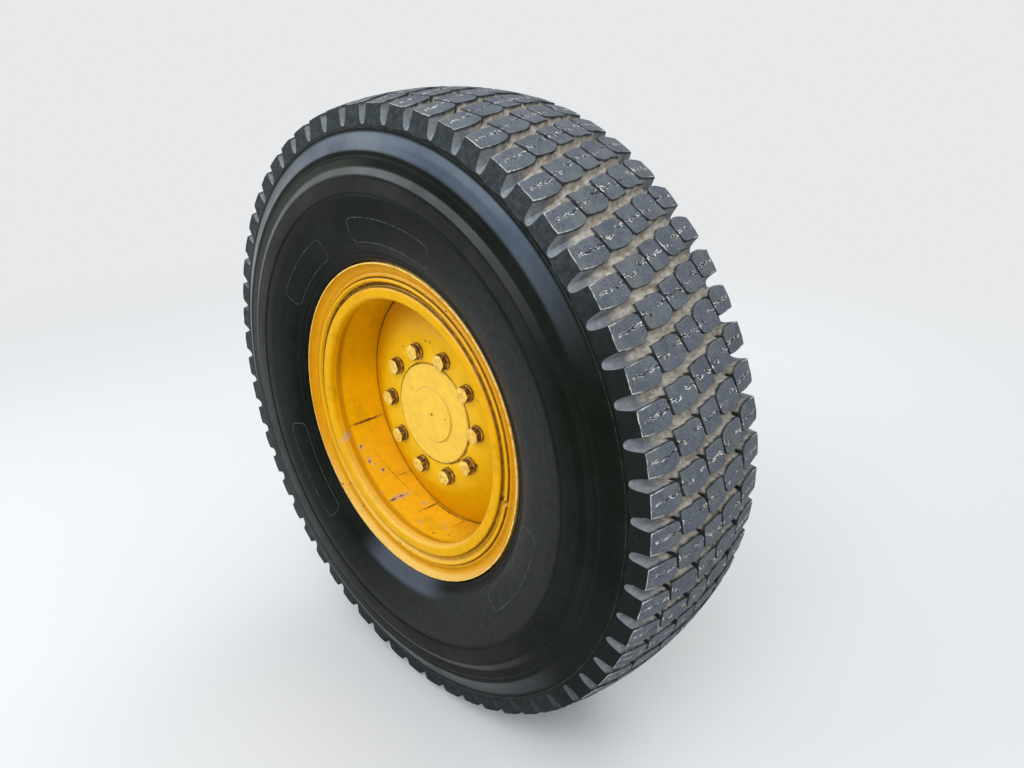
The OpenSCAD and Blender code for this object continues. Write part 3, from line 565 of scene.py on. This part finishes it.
def rubber_material(groups):
    """Tyre rubber: slate block tops with broken pale edges at the shoulders and sipes, beige dust in the
    grooves across, blue-grey scoops in the shoulders, and black satin sidewalls. The pieces carry three
    attributes: block_level is 3 inside the blocks' tops, 2 at the tops' edges and 1 down their walls,
    sipe_lip is 1 along the sipes' edges, and rib_wear is 1 on the sidewall's panels."""
    material, tree, shader = start_material("tyre_rubber")
    at = use(tree, groups["place"])
    r, s, clock = at["R"], at["S"], at["Clock"]
    away = abs(s)
    level = attribute(tree, "block_level")
    fine = speckle(tree, 330, 5, 0.75)
    grain = speckle(tree, 75, 4, 0.7, shift=4.0)
    broad = speckle(tree, 6, 3, 0.6)
    rag = (speckle(tree, 130, 4, 0.75, shift=9.0) - 0.5) * 1.3
    on_blocks = level.ramp(0.3, 0.9)
    top = level.ramp(1.70, 1.95) * on_blocks
    # The sidewall is black, its faint green tint a painted reflection, with a faint haze
    black = blend(broad.ramp(0.35, 0.7), (0.0035, 0.0056, 0.0030, 1), (0.0070, 0.0090, 0.0068, 1))
    haze = speckle(tree, 22, 5, 0.75, shift=1.0).ramp(0.45, 0.75)
    black = blend(haze * 0.05, black, (0.085, 0.088, 0.085, 1))
    # Grey road dust clings to its lower right, and a blue sheen is painted under the rim
    dusty = clock.band(45.0, 165.0, 45.0) * r.band(380.0, 478.0, 14.0) * grain.ramp(0.30, 0.66, 0.55, 0.95)
    black = blend(dusty, black, (0.025, 0.026, 0.026, 1))
    painted_sheen_under_rim = clock.band(172.0, 190.0, 16.0) * r.band(358.0, 384.0, 14.0)
    black = blend(painted_sheen_under_rim * 0.75, black, (0.085, 0.100, 0.130, 1))
    # A painted sky reflection on the buttress, bluest at the top. It and the coat are left off the lower right, which
    # is in shade
    unlit_lower_part = clock.band(125.0, 195.0, 30.0) * 0.6
    lit_part = 1.0 - most(unlit_lower_part, clock.band(64.0, 125.0, 26.0))
    painted_sky_reflection = r.band(578.0, 602.0, 7.0) * lit_part * s.ramp(150.0, 162.0) * grain.ramp(0.30, 0.62, 0.55, 0.8)
    sky_blue_top = (clock + 60.0).wrap(0.0, 360.0).band(34.0, 95.0, 25.0)
    black = blend(painted_sky_reflection, black, blend(sky_blue_top, (0.028, 0.038, 0.055, 1), (0.036, 0.060, 0.100, 1)))
    # A painted greenish sheen on the moulded step at the upper left
    forward = clock.band(276.0, 346.0, 18.0) * r.band(528.0, 554.0, 6.0)
    black = blend(forward * 0.8, black, (0.034, 0.038, 0.030, 1))
    # The mould's seam and the panels' ribs are scuffed
    seam = r.band(611.6, 612.4, 0.4) * grain.ramp(0.38, 0.62, 0.05, 0.38)
    black = blend(seam, black, (0.12, 0.125, 0.12, 1))
    scuffed = attribute(tree, "rib_wear") * grain.ramp(0.34, 0.60, 0.15, 0.9)
    black = blend(scuffed, black, (0.080, 0.086, 0.084, 1))
    # Walls of the blocks, with painted shade on the outer shoulder where the sidewall is in shade
    wall = blend(grain.ramp(0.35, 0.7), (0.028, 0.034, 0.036, 1), (0.056, 0.065, 0.071, 1))
    wall = blend((1.0 - lit_part) * s.ramp(150.0, 158.0, 0.0, 0.9), wall, (0.008, 0.011, 0.010, 1))
    colour = blend(on_blocks, black, wall)
    # Distance from the middle of the nearest groove across
    run = (maths("MINIMUM", away, BEND_S) * SLANT + most(away - BEND_S, 0.0) * SHOULDER_SLANT) * maths("SIGN", s)
    along = (clock - TREAD_ANGLE) * math.radians(TYRE_R)
    lane = abs((along - run).wrap(-PITCH_W / 2, PITCH_W / 2))
    in_lane = (lane + rag * 3.0).ramp(13.0, 17.0, 1.0, 0.0)
    # Groove floors, and the dust that climbs the walls. The scoops below the axle are painted dark, as painted shade
    dust = blend(grain.ramp(0.34, 0.64), (0.38, 0.335, 0.27, 1), (0.68, 0.64, 0.58, 1))
    scoop = blend(grain.ramp(0.3, 0.7), (0.205, 0.225, 0.245, 1), (0.32, 0.345, 0.37, 1))
    scoop = blend(clock.band(140.0, 270.0, 30.0) * 0.85, scoop, (0.034, 0.040, 0.048, 1))
    floor = blend(away.ramp(112.0, 140.0, 1.0, 0.0), scoop, dust)
    depth = TYRE_R - s * s / (2 * CROWN_R) - r + (grain - 0.5) * 8.0
    side_s = (SHOULDER_R - r) * SIDE_LEAN + TREAD_HALF
    inside = (away - side_s).ramp(-2.2, -0.9, 1.0, 0.0) * r.ramp(600.0, 608.0)
    covered = most(depth.ramp(13.0, 18.0), depth.ramp(2.5, 10.0) * 0.9) * inside * in_lane
    colour = blend(covered, colour, floor)
    # Tops of the blocks, slate grey, their blue tint partly a painted sky reflection
    slate = blend(fine.ramp(0.38, 0.64), (0.088, 0.102, 0.130, 1), (0.182, 0.200, 0.236, 1))
    paler = speckle(tree, 28, 4, 0.7, shift=5.0).ramp(0.42, 0.66, 0.0, 0.6)
    slate = blend(paler, slate, (0.180, 0.202, 0.198, 1))
    darker = speckle(tree, 17, 3, 0.6, shift=8.0).ramp(0.45, 0.70, 0.0, 0.4)
    slate = blend(darker, slate, (0.080, 0.088, 0.108, 1))
    nick = speckle(tree, 420, 3, 0.7, shift=6.0).ramp(0.60, 0.67)
    slate = blend(nick * 0.55, slate, (0.026, 0.030, 0.036, 1))
    grit = speckle(tree, 300, 3, 0.7, shift=12.0).ramp(0.63, 0.70)
    slate = blend(grit * 0.55, slate, (0.42, 0.41, 0.38, 1))
    colour = blend(top, colour, slate)
    # Broken pale edges, clearest on the shoulders
    edge = (level + rag).band(1.65, 2.30, 0.25) * on_blocks * away.ramp(122.0, 152.0, 0.10, 1.0)
    edge = edge * speckle(tree, 60, 4, 0.7, shift=2.0).ramp(0.38, 0.58, 0.1, 0.95)
    colour = blend(edge, colour, (0.66, 0.66, 0.62, 1))
    # White crumbs along the sipes, with dark bites between them
    crumb = attribute(tree, "sipe_lip").ramp(0.02, 0.22) * top
    where = speckle(tree, 115, 4, 0.8, shift=15.0)
    pale = blend(grain.ramp(0.50, 0.56), (0.82, 0.83, 0.81, 1), (0.76, 0.74, 0.58, 1))
    colour = blend(crumb * where.ramp(0.52, 0.57), colour, pale)
    colour = blend(crumb * where.ramp(0.38, 0.43, 1.0, 0.0), colour, (0.013, 0.016, 0.015, 1))
    # The shine itself, on three of the moulded bands
    shine = r.band(576.0, 602.0, 6.0) * s.ramp(160.0, 168.0)
    shine = shine + r.band(530.0, 541.0, 5.0) * 0.95 + r.band(498.0, 520.0, 6.0) * 0.35
    feed(shader.inputs["Coat Weight"], shine * lit_part * broad.ramp(0.35, 0.6, 0.6, 0.95))
    shader.inputs["Coat Roughness"].default_value = 0.30
    shader.inputs["Specular IOR Level"].default_value = 0.06
    rubbed = most(on_blocks, covered)
    rough = speckle(tree, 14, 4, 0.6, shift=3.0).ramp(0.3, 0.7, 0.25, 0.36) + rubbed * 0.42
    skin = speckle(tree, 420, 3, 0.6) * 0.05
    finish(shader, colour, rough, skin + (fine - nick * 0.6) * rubbed, 0.0013)
    return material


# Modelling by hand

def bare_start():
    bpy.ops.object.select_all(action="DESELECT")


def select_all(action="SELECT"):
    bpy.ops.mesh.select_all(action=action)


def edit():
    """Opens the active piece, with all of it selected."""
    bpy.ops.object.mode_set(mode="EDIT")
    select_all()


def leave(sharp=None):
    """Closes the active piece, and smooths all but the edges sharper than an angle in degrees."""
    bpy.ops.object.mode_set(mode="OBJECT")
    if sharp:
        bpy.ops.object.shade_smooth_by_angle(angle=math.radians(sharp))


def draw_line(name, points, filled=False):
    """Pulls a single vertex from point to point, and fills the outline if it is a closed one."""
    bare_start()
    bpy.ops.mesh.primitive_plane_add(size=0.01, location=(0, 0, 0))
    piece = bpy.context.object
    piece.name = name
    edit()
    bpy.ops.mesh.merge(type="CENTER")
    bpy.ops.transform.translate(value=points[0])
    for here, there in zip(points, points[1:]):
        bpy.ops.mesh.extrude_region_move(TRANSFORM_OT_translate={"value": there - here})
    if filled:
        select_all()
        bpy.ops.mesh.edge_face_add()
    leave()
    return piece


def softened(corners, steps=3):
    """A closed outline whose corners (r, s, radius) are rounded, but for those that are nearly straight.
    A corner may name its own steps."""
    outline = []
    for i, corner in enumerate(corners):
        here = Vector(corner[:2])
        before = Vector(corners[i - 1][:2])
        after = Vector(corners[(i + 1) % len(corners)][:2])
        radius = corner[2]
        count = corner[3] if len(corner) > 3 else steps
        to_before, to_after = (before - here), (after - here)
        angle = to_before.angle(to_after)
        if radius <= 0 or angle > math.radians(177):
            outline.append(here)
            continue
        reach = min(radius / math.tan(angle / 2), to_before.length * 0.495, to_after.length * 0.495)
        radius = reach * math.tan(angle / 2)
        start, end = here + to_before.normalized() * reach, here + to_after.normalized() * reach
        halfway = (to_before.normalized() + to_after.normalized()).normalized()
        middle = here + halfway * (radius / math.sin(angle / 2))
        for k in range(count + 1):
            way = (start - middle).lerp(end - middle, k / count)
            outline.append(middle + way.normalized() * radius)
    return outline


def spun(piece, steps, angle, sharp=32):
    """Spins a drawn line or face about the axle, merges doubles and turns the faces outwards."""
    edit()
    bpy.ops.mesh.spin(steps=steps, angle=angle, center=(0, 0, 0), axis=AXLE)
    select_all()
    bpy.ops.mesh.remove_doubles(threshold=MERGE * MM)
    bpy.ops.mesh.normals_make_consistent(inside=False)
    leave(sharp)
    return piece


def turned(name, outline, steps=RING_STEPS, sharp=32):
    """A ring turned about the axle from its closed outline."""
    points = [place(r, s) for r, s in outline]
    return spun(draw_line(name, points + points[:1]), steps, 2 * math.pi, sharp)


def turned_part(name, outline, steps, clock, sweep):
    """A piece of a ring, closed at both ends, from a clock angle over a sweep in degrees."""
    return spun(draw_line(name, [place(r, s, clock) for r, s in outline], filled=True), steps, math.radians(sweep))


def join(pieces, name):
    bare_start()
    for piece in pieces:
        piece.select_set(True)
    bpy.context.view_layer.objects.active = pieces[0]
    bpy.ops.object.join()
    joined = bpy.context.object
    joined.name = name
    return joined


def settle(piece):
    """Puts the object's place and turn into its mesh."""
    bare_start()
    piece.select_set(True)
    bpy.context.view_layer.objects.active = piece
    bpy.ops.object.transform_apply(location=True, rotation=True, scale=True)


def dress(piece, material, slot, body, *nodes):
    """Gives a piece its material and body, and says which CAD nodes it replaces. Its slot is not used."""
    piece.data.materials.clear()
    piece.data.materials.append(material)
    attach(piece, body)
    if nodes:
        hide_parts(*nodes)


def repaint(material, *nodes):
    """Gives CAD nodes that keep their shape their own finish."""
    for node in nodes:
        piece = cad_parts[node]
        if not piece.data.materials:
            piece.data.materials.append(material)
        for holder in piece.material_slots:
            holder.material = material


# Tyre

# The sidewall's plain middle part as (r, s, rounding)
PLAIN_WALL = [(384, 176.6, 20), (394, 181, 30), (412, 185.6, 30), (432, 189, 40), (464, 192.2, 30), (487.5, 192.3, 1)]


def casing_outline():
    """Bead, sidewall with its moulded bands, shoulder and groove floor, then the same on the machine's side."""
    side = [
        (301.7, 86, 0), (305.1, 126.6, 3), (326, 126.5, 0), (334.2, 127.8, 0), (341.6, 131.6, 0), (347.4, 137.4, 0),
        (351.2, 144.8, 0), (353.4, 155, 0), (355.0, 161.5, 2), (359.5, 165.6, 1.5),
        (361.0, 167.4, 0.6), (363.2, 168.2, 0.6), (364.8, 167.6, 0.8), (369.5, 170.4, 0.8), (371.0, 172.2, 0.6),
        (373.2, 172.8, 0.6), (374.8, 172.0, 0.8)] + PLAIN_WALL + [
        (490.0, 190.9, 0.8), (492.5, 192.8, 1), (529.0, 193.2, 3), (541.4, 186.4, 3), (544.5, 186.9, 1),
        (560, 186.4, 3), (563, 184.6, 1), (571.5, 184.8, 1), (574.5, 183.2, 2), (590, 174.6, 40), (603, 169.8, 20),
        (610.2, 168.7, 1), (611.4, 169.1, 0.3), (612.6, 169.0, 0.3), (613.6, 168.1, 0.6), (617.0, 167.3, 2),
        (620.5, 163.0, 4), (625.4, 154.5, 10), (630.4, 144, 12), (636.6, 132, 15), (643.4, 117, 20),
        (648.8, 102, 20), (652.2, 82, 30), (654.6, 50, 40), (656.0, 22, 40)]
    back = [(r, -s, radius) for r, s, radius in reversed(side)]
    liner = [(326.8, 92), (356, 123), (402, 159), (462, 173), (547.5, 171), (587.5, 146), (615.5, 120), (631.5, 64)]
    inside = [(r, -s, 0) for r, s in liner] + [(634.5, 0, 0)] + [(r, s, 0) for r, s in reversed(liner)]
    return softened(side + back + inside, 2)


def sipe(path, wide=0.85):
    """A zigzag cut into a block from its edge: down one side of the path and back up the other.
    The third number of its points marks them as a sipe's."""
    there = [(x - wide, s, 1.0) for x, s in path]
    back = [(x + wide, s, 1.0) for x, s in reversed(path)]
    return there + back


# Outlines of the blocks of one pitch as (x along the tread, s), from the middle of a groove across,
# each with the point round which its foot spreads. The two rows on the machine's side are the outer
# two turned half round.
SHOULDER_BLOCK = (
    [(-22.5, 159.6), (-23.6, 146), (-25.8, 128), (-27.2, 113), (-26.4, 104), (-22.6, 98.4), (-15, 96.8)]
    + sipe([(-6.5, 94.6), (-7.5, 104), (-3, 112), (-5.5, 121), (-1, 130), (-3.5, 140), (-1, 149)])
    + [(2, 93.0), (9.5, 91.4), (15.8, 95.6), (20.4, 103), (23.2, 113), (24.6, 127), (23.8, 143), (21.6, 159.6),
       (8, 160.2), (-8, 160.2)],
    (-1.5, 160.0))
SECOND_BLOCK = (
    [(-40.3, 95.8), (-41.2, 86), (-41.6, 75), (-43.6, 66.5), (-46.3, 60.5), (-46.8, 50), (-46.2, 41), (-43, 35),
     (-37.8, 31.4)]
    + sipe([(-28, 28.4), (-30.5, 36), (-25.5, 43), (-28, 51)])
    + [(-11.5, 23.0), (-4, 27.3), (2, 34.6), (5.6, 43), (7.5, 53), (8.0, 64), (8.3, 76), (6.8, 84), (3.6, 86.3),
       (-8, 89.1)]
    + sipe([(-17, 91.0), (-17.5, 82), (-12.5, 76), (-15.5, 67)])[::-1]
    + [(-28, 93.4)],
    (-19.5, 60.0))
CENTRE_BLOCK = (
    [(-19.6, 29.6), (-21.6, 25), (-24, 12), (-27, 2), (-28.4, -8), (-28.5, -14), (-26, -17.8), (-12, -21.9)]
    + sipe([(0, -25.0), (0.5, -16), (-4, -10), (-1.5, -3)])
    + [(10, -27.2), (19.6, -29.6), (21.6, -25), (24, -12), (27, -2), (28.4, 8), (28.5, 14), (26, 17.8), (12, 21.9)]
    + sipe([(0, 25.0), (-0.5, 16), (4, 10), (1.5, 3)])[::-1]
    + [(-10, 27.2)],
    (0.0, 0.0))
# Half sizes of the blocks along the tread and along the axle, for their spread
SHOULDER_HALF, SECOND_HALF, CENTRE_HALF = (24, 62), (25, 32), (26, 28)
# Walls of a block as (depth under its top, how far it spreads), for the inner rows and for the shoulders,
# whose blocks reach down to the sidewall with a scoop between each two
BLOCK_WALL = [(0.0, -0.9), (0.5, 0.1), (2.0, 0.6), (12.0, 1.7), (16.5, 3.6), (19.5, 7.0), (24.0, 15.0)]
SHOULDER_WALL = [(0.0, -0.9), (0.5, 0.1), (2.0, 0.5), (14.0, 1.2), (24.0, 2.2), (31.0, 3.6), (35.0, 5.4),
                 (38.0, 8.2), (40.0, 11.6), (41.5, 16.0)]
# Values of block_level: in the middle of a top, at its edge, just under the edge and down the walls
MIDDLE_LEVEL, EDGE_LEVEL, BRINK_LEVEL, WALL_LEVEL = 3.0, 2.0, 1.6, 1.0


def tread_block(outline, spread_from, half, turn=False, shift=0.0):
    """One block, drawn on the crown and pulled down into its spreading foot."""
    sign = -1 if turn else 1
    shoulder = half == SHOULDER_HALF
    lean, wall = (SIDE_LEAN, SHOULDER_WALL) if shoulder else (0.0, BLOCK_WALL)

    def spot(x, s):
        x, s = sign * x + shift, sign * s
        return place(crown(min(abs(s), TREAD_HALF)) - TOP_SINK, s, TREAD_ANGLE + math.degrees(x / TYRE_R))

    piece = draw_line("block", [spot(*point[:2]) for point in outline], filled=True)
    centre = spot(*spread_from)
    up = Vector((centre.x, 0, centre.z)).normalized()
    lips = piece.data.attributes.new("sipe_lip", "FLOAT", "POINT")
    for lip, point in zip(lips.data, outline):
        lip.value = point[2] if len(point) > 2 else 0.0
    piece.data.attributes.active = piece.data.attributes.new("block_level", "FLOAT", "POINT")
    edit()
    bpy.ops.mesh.attribute_set(value_float=EDGE_LEVEL)
    depth, spread = wall[0]
    first = [1 + spread / half[0], 1 + spread / half[1], 1]
    bpy.ops.transform.resize(value=first, center_override=centre)
    # The top is slightly crowned inside its worn edge
    bpy.ops.mesh.inset(thickness=TOP_EDGE * MM, depth=TOP_FALL * MM)
    bpy.ops.mesh.attribute_set(value_float=MIDDLE_LEVEL)
    select_all("DESELECT")
    bpy.ops.mesh.select_non_manifold(extend=False)
    for next_depth, next_spread in wall[1:]:
        step = next_depth - depth
        move = -up * step * MM + Vector((0, -sign * lean * step * MM, 0))
        bpy.ops.mesh.extrude_region_move(TRANSFORM_OT_translate={"value": move})
        centre = centre + move
        grow = ((half[0] + next_spread) / (half[0] + spread), (half[1] + next_spread) / (half[1] + spread), 1)
        bpy.ops.transform.resize(value=grow, center_override=centre)
        bpy.ops.mesh.attribute_set(value_float=BRINK_LEVEL if next_depth < 1 else WALL_LEVEL)
        depth, spread = next_depth, next_spread
    bpy.ops.mesh.edge_face_add()
    leave()
    # Only the edge of the top counts as a sipe's lip, not its middle
    for lip, level in zip(piece.data.attributes["sipe_lip"].data, piece.data.attributes["block_level"].data):
        if level.value > (MIDDLE_LEVEL + EDGE_LEVEL) / 2:
            lip.value = 0.0
    return piece


def tread_rows(name, blocks):
    """Copies the blocks of one pitch round the tyre and wears them unevenly."""
    tread = join(blocks, name)
    edit()
    bpy.ops.mesh.normals_make_consistent(inside=False)
    select_all()
    bpy.ops.mesh.spin(steps=PITCHES - 1, angle=2 * math.pi * (PITCHES - 1) / PITCHES, center=(0, 0, 0), axis=AXLE,
                      dupli=True)
    leave()
    # Uneven wear: each corner of each block is moved a little, no two blocks alike
    wear = bpy.data.textures.new("uneven_wear", "CLOUDS")
    wear.noise_scale = 13 * MM
    wear.noise_type = "SOFT_NOISE"
    uneven = tread.modifiers.new("uneven_wear", "DISPLACE")
    uneven.texture = wear
    uneven.texture_coords = "LOCAL"
    uneven.direction = "RGB_TO_XYZ"
    uneven.mid_level = 0.5
    uneven.strength = 2.2 * MM
    bpy.ops.object.modifier_apply(modifier="uneven_wear")
    leave(38)
    return tread


def model_tyre():
    casing = turned("tyre_casing", casing_outline(), 4 * PITCHES, 40)
    shoulders = [tread_block(*SHOULDER_BLOCK, SHOULDER_HALF, turn) for turn in (False, True)]
    shoulders = tread_rows("tyre_shoulder_blocks", shoulders)
    inner = [tread_block(*SECOND_BLOCK, SECOND_HALF, turn) for turn in (False, True)]
    inner.append(tread_block(*CENTRE_BLOCK, CENTRE_HALF, shift=-PITCH_W / 2))
    return casing, shoulders, tread_rows("tyre_inner_blocks", inner)


def sidewall_height(r):
    """Distance s of the sidewall's surface at a radius in its plain middle part."""
    for (r0, s0, _), (r1, s1, _) in zip(PLAIN_WALL, PLAIN_WALL[1:]):
        if r0 <= r <= r1:
            return s0 + (s1 - s0) * (r - r0) / (r1 - r0)
    return PLAIN_WALL[-1][1]


def panel_rib(clock_from, clock_to, r_low, r_high, side):
    """A thin raised outline of a long panel with round ends on the sidewall."""
    corner = (r_high - r_low) * 0.34
    bend = math.degrees(corner / r_high)
    points = []
    for r, clock, start in ((r_high - corner, clock_to - bend, 0), (r_low + corner, clock_to - bend, 90),
                            (r_low + corner, clock_from + bend, 180), (r_high - corner, clock_from + bend, 270)):
        for k in range(RIB_CORNER_STEPS + 1):
            a = math.radians(start + 90 / RIB_CORNER_STEPS * k)
            points.append((r + corner * math.cos(a), clock + bend * math.sin(a)))
    line = []
    for (r0, c0), (r1, c1) in zip(points, points[1:] + points[:1]):
        count = max(1, int(abs(c1 - c0) / RIB_STEP_ANGLE))
        for k in range(count):
            r = r0 + (r1 - r0) * k / count
            line.append(place(r, side * (sidewall_height(r) - RIB_SINK), c0 + (c1 - c0) * k / count))
    draw_line("panel", line + line[:1])
    edit()
    bpy.ops.mesh.remove_doubles(threshold=MERGE * MM)
    leave()
    bpy.ops.object.convert(target="CURVE")
    piece = bpy.context.object
    piece.data.bevel_depth = RIB_R * MM
    piece.data.bevel_resolution = 1
    bpy.ops.object.convert(target="MESH")
    piece = bpy.context.object
    bpy.ops.object.shade_smooth()
    return piece


def model_panels():
    """Four plain raised panels on each sidewall."""
    panels = [panel_rib(clock_from, clock_to, r_low, r_high, side) for side in (1, -1)
              for clock_from, clock_to, r_low, r_high in (
                  (219, 253, 385, 432), (300, 330, 385, 432), (99, 133, 385, 432), (346, 380, 396, 446))]
    ribs = join(panels, "sidewall_panels")
    for worn in ribs.data.attributes.new("rib_wear", "FLOAT", "POINT").data:
        worn.value = 1.0
    return ribs


# Rim, disc and screws

def model_rim():
    side_ring = turned("side_ring", softened([
        (299.25, TOE_S, 0), (TOE_R, TOE_S, 1), (SEAT_R, FLANGE_S, 2), (FLANGE_R, FLANGE_S, FLANGE_CURL, 8),
        (FLANGE_R, LIP_S, 2.2), (348.4, 163.2, 1.5), (346.2, 158.2, 4, 4), (339.5, 152.0, 9, 4), (331.5, 149.4, 5),
        (328.2, 149.6, 2), (325.2, 151.9, 2), (321.4, 151.9, 1.6), (319.6, 149.4, 0.8), (319.6, 140.1, 0),
        (299.25, 140.1, 0)]))
    gap = 2 * math.degrees(SPLIT_W / 2 / SPLIT_R)
    lock_ring = turned_part("lock_ring", softened([
        (288.3, 140.3, 0.6), (288.3, 148.7, 0.6), (298.4, 148.7, 0.5), (301.4, 145.6, 2), (305.8, 145.8, 3),
        (310.2, 151.0, 3), (312.8, 155.9, 1.8), (316.4, 156.0, 1.8), (318.6, 153.2, 2.0), (318.6, 140.3, 0.6)]),
        RING_STEPS, SPLIT_ANGLE + gap / 2, 360 - gap)
    rim_base = turned("rim_base", softened([
        (BASE_R, DISC_EDGE_S, 0), (BASE_R, 121, 8), (279, 126, 6), (GUTTER_R, 138.5, 8), (GUTTER_R, NOSE_S, 13, 7),
        (298, NOSE_S, 7, 5), (298, 149, 0.5), (288, 149, 0.4), (288, 140, 0.4), (LAND_R, 140, 0.5), (LAND_R, 82, 3),
        (291, 64, 3), (291, -70, 3), (TOE_R, -TOE_S, 2), (SEAT_R, -FLANGE_S, 1),
        (FLANGE_R, -FLANGE_S, FLANGE_CURL, 8), (FLANGE_R, -LIP_S, 3), (348, -LIP_S, 1.5), (338, -153, 4),
        (338, -141, 11, 5), (308.8, -141, 3), (291, -BACK_S, 4), (BASE_R, -BACK_S, 2)]))
    patch_r = BASE_R - FIT
    patch = turned_part("rim_patch", softened([
        (patch_r, 24, 0.3), (patch_r, 112, 0.3), (patch_r - PATCH_T, 112, 1.3), (patch_r - PATCH_T, 24, 1.3)], 2),
        16, PATCH_FROM, PATCH_TO - PATCH_FROM)
    return side_ring, lock_ring, rim_base, patch


def model_disc():
    slope = (DISC_S - DISC_EDGE_S) / (BASE_R - DISC_FLAT_R)
    edge_r = BASE_R - FIT
    back_s = DISC_EDGE_S - DISC_T / math.cos(math.atan(slope))
    back_bend_r = DISC_FLAT_R - DISC_T * math.tan(math.atan(slope) / 2)
    return turned("wheel_disc", softened([
        (DISC_BORE_R, DISC_S, 1.5), (DISC_FLAT_R, DISC_S, 60, 10),
        (edge_r - 3, DISC_S - (edge_r - 3 - DISC_FLAT_R) * slope, 1.5), (edge_r, DISC_EDGE_S - 3, 0),
        (edge_r, back_s - 8, 0), (edge_r - 8, back_s + 4, 2), (back_bend_r, DISC_S - DISC_T, 44, 8),
        (DISC_BORE_R, DISC_S - DISC_T, 1)]))


def prism(sides, radius, height, s, clock, turn=0.0):
    """A cylinder or a hexagon on the screw circle that stands on the disc's side at distance s."""
    bare_start()
    bpy.ops.mesh.primitive_cylinder_add(
        vertices=sides, radius=radius * MM, depth=height * MM, location=place(SCREW_CIRCLE_R, s + height / 2, clock),
        rotation=(math.pi / 2, turn, 0))
    piece = bpy.context.object
    settle(piece)
    return piece


def bevel(width, kind="EDGES"):
    bpy.ops.mesh.bevel(offset=width * MM, segments=2, affect=kind)


def model_screws():
    """Ten screws with chamfered heads, each turned its own way, and their washers."""
    rng = random.Random(11)
    heads, washers = [], []
    for k in range(SCREWS):
        clock = SCREW_ANGLE + 360 / SCREWS * k
        head = prism(6, HEAD_FLATS / 2 / math.cos(math.pi / 6), HEAD_H, DISC_S + WASHER_T, clock,
                     rng.uniform(0, math.pi / 3))
        edit()
        select_all("DESELECT")
        leave()
        outer = min(vertex.co.y for vertex in head.data.vertices)
        for vertex in head.data.vertices:
            vertex.select = abs(vertex.co.y - outer) < 0.1 * MM
        bpy.ops.object.mode_set(mode="EDIT")
        bevel(HEAD_CORNER, "VERTICES")
        select_all()
        bevel(HEAD_EDGE)
        leave(28)
        heads.append(head)
        washer = prism(40, WASHER_R, WASHER_T, DISC_S, clock)
        edit()
        bevel(WASHER_EDGE)
        leave(35)
        washers.append(washer)
    return join(heads, "wheel_screws"), join(washers, "wheel_washers")


def build():
    groups = {"place": wheel_place_group(), "mark": paint_mark_group(), "paint": worn_paint_group()}
    stage_view()
    stage_floor()
    stage_light()
    rubber = rubber_material(groups)
    for piece in model_tyre():
        dress(piece, rubber, "tyre_rubber", "wheel", "tyre")
    dress(model_panels(), rubber, "tyre_rubber", "wheel")
    paints = {name: yellow_material(name, groups) for name in COATS}
    for piece, paint, node in zip(
            (*model_rim(), model_disc()),
            ("side_ring_paint", "lock_ring_paint", "rim_base_paint", "rim_base_paint", "disc_paint"),
            ("side_ring", "lock_ring", "rim_base", "rim_patch", "wheel_disc")):
        dress(piece, paints[paint], "rim_yellow", "wheel", node)
    screws, washers = model_screws()
    dress(screws, screw_material("chipped_screws"), "screw_heads", "wheel", "wheel_screws")
    dress(washers, screw_material("washer_paint"), "screw_heads", "wheel", "wheel_washers")
    repaint(paints["hub_paint"], "wheel_shaft")
    repaint(paints["casting_paint"], "brake_housing", "bearing_housing", "seal_carrier")
    repaint(metal_material("dull_zinc", (0.42, 0.41, 0.38, 1), (0.17, 0.13, 0.09, 1), 0.38, 0.65),
            "housing_screws", "seal_screws", "drain_plug")
    repaint(metal_material("plated_steel", (0.60, 0.58, 0.50, 1), (0.30, 0.27, 0.20, 1), 0.25, 0.5, 120),
            "brake_fitting", "bleed_screw")
    repaint(metal_material("valve_brass", (0.62, 0.44, 0.16, 1), (0.24, 0.17, 0.08, 1), 0.28, 0.55, 140), "valve_stem")
    repaint(plastic_material(), "valve_cap")


build()
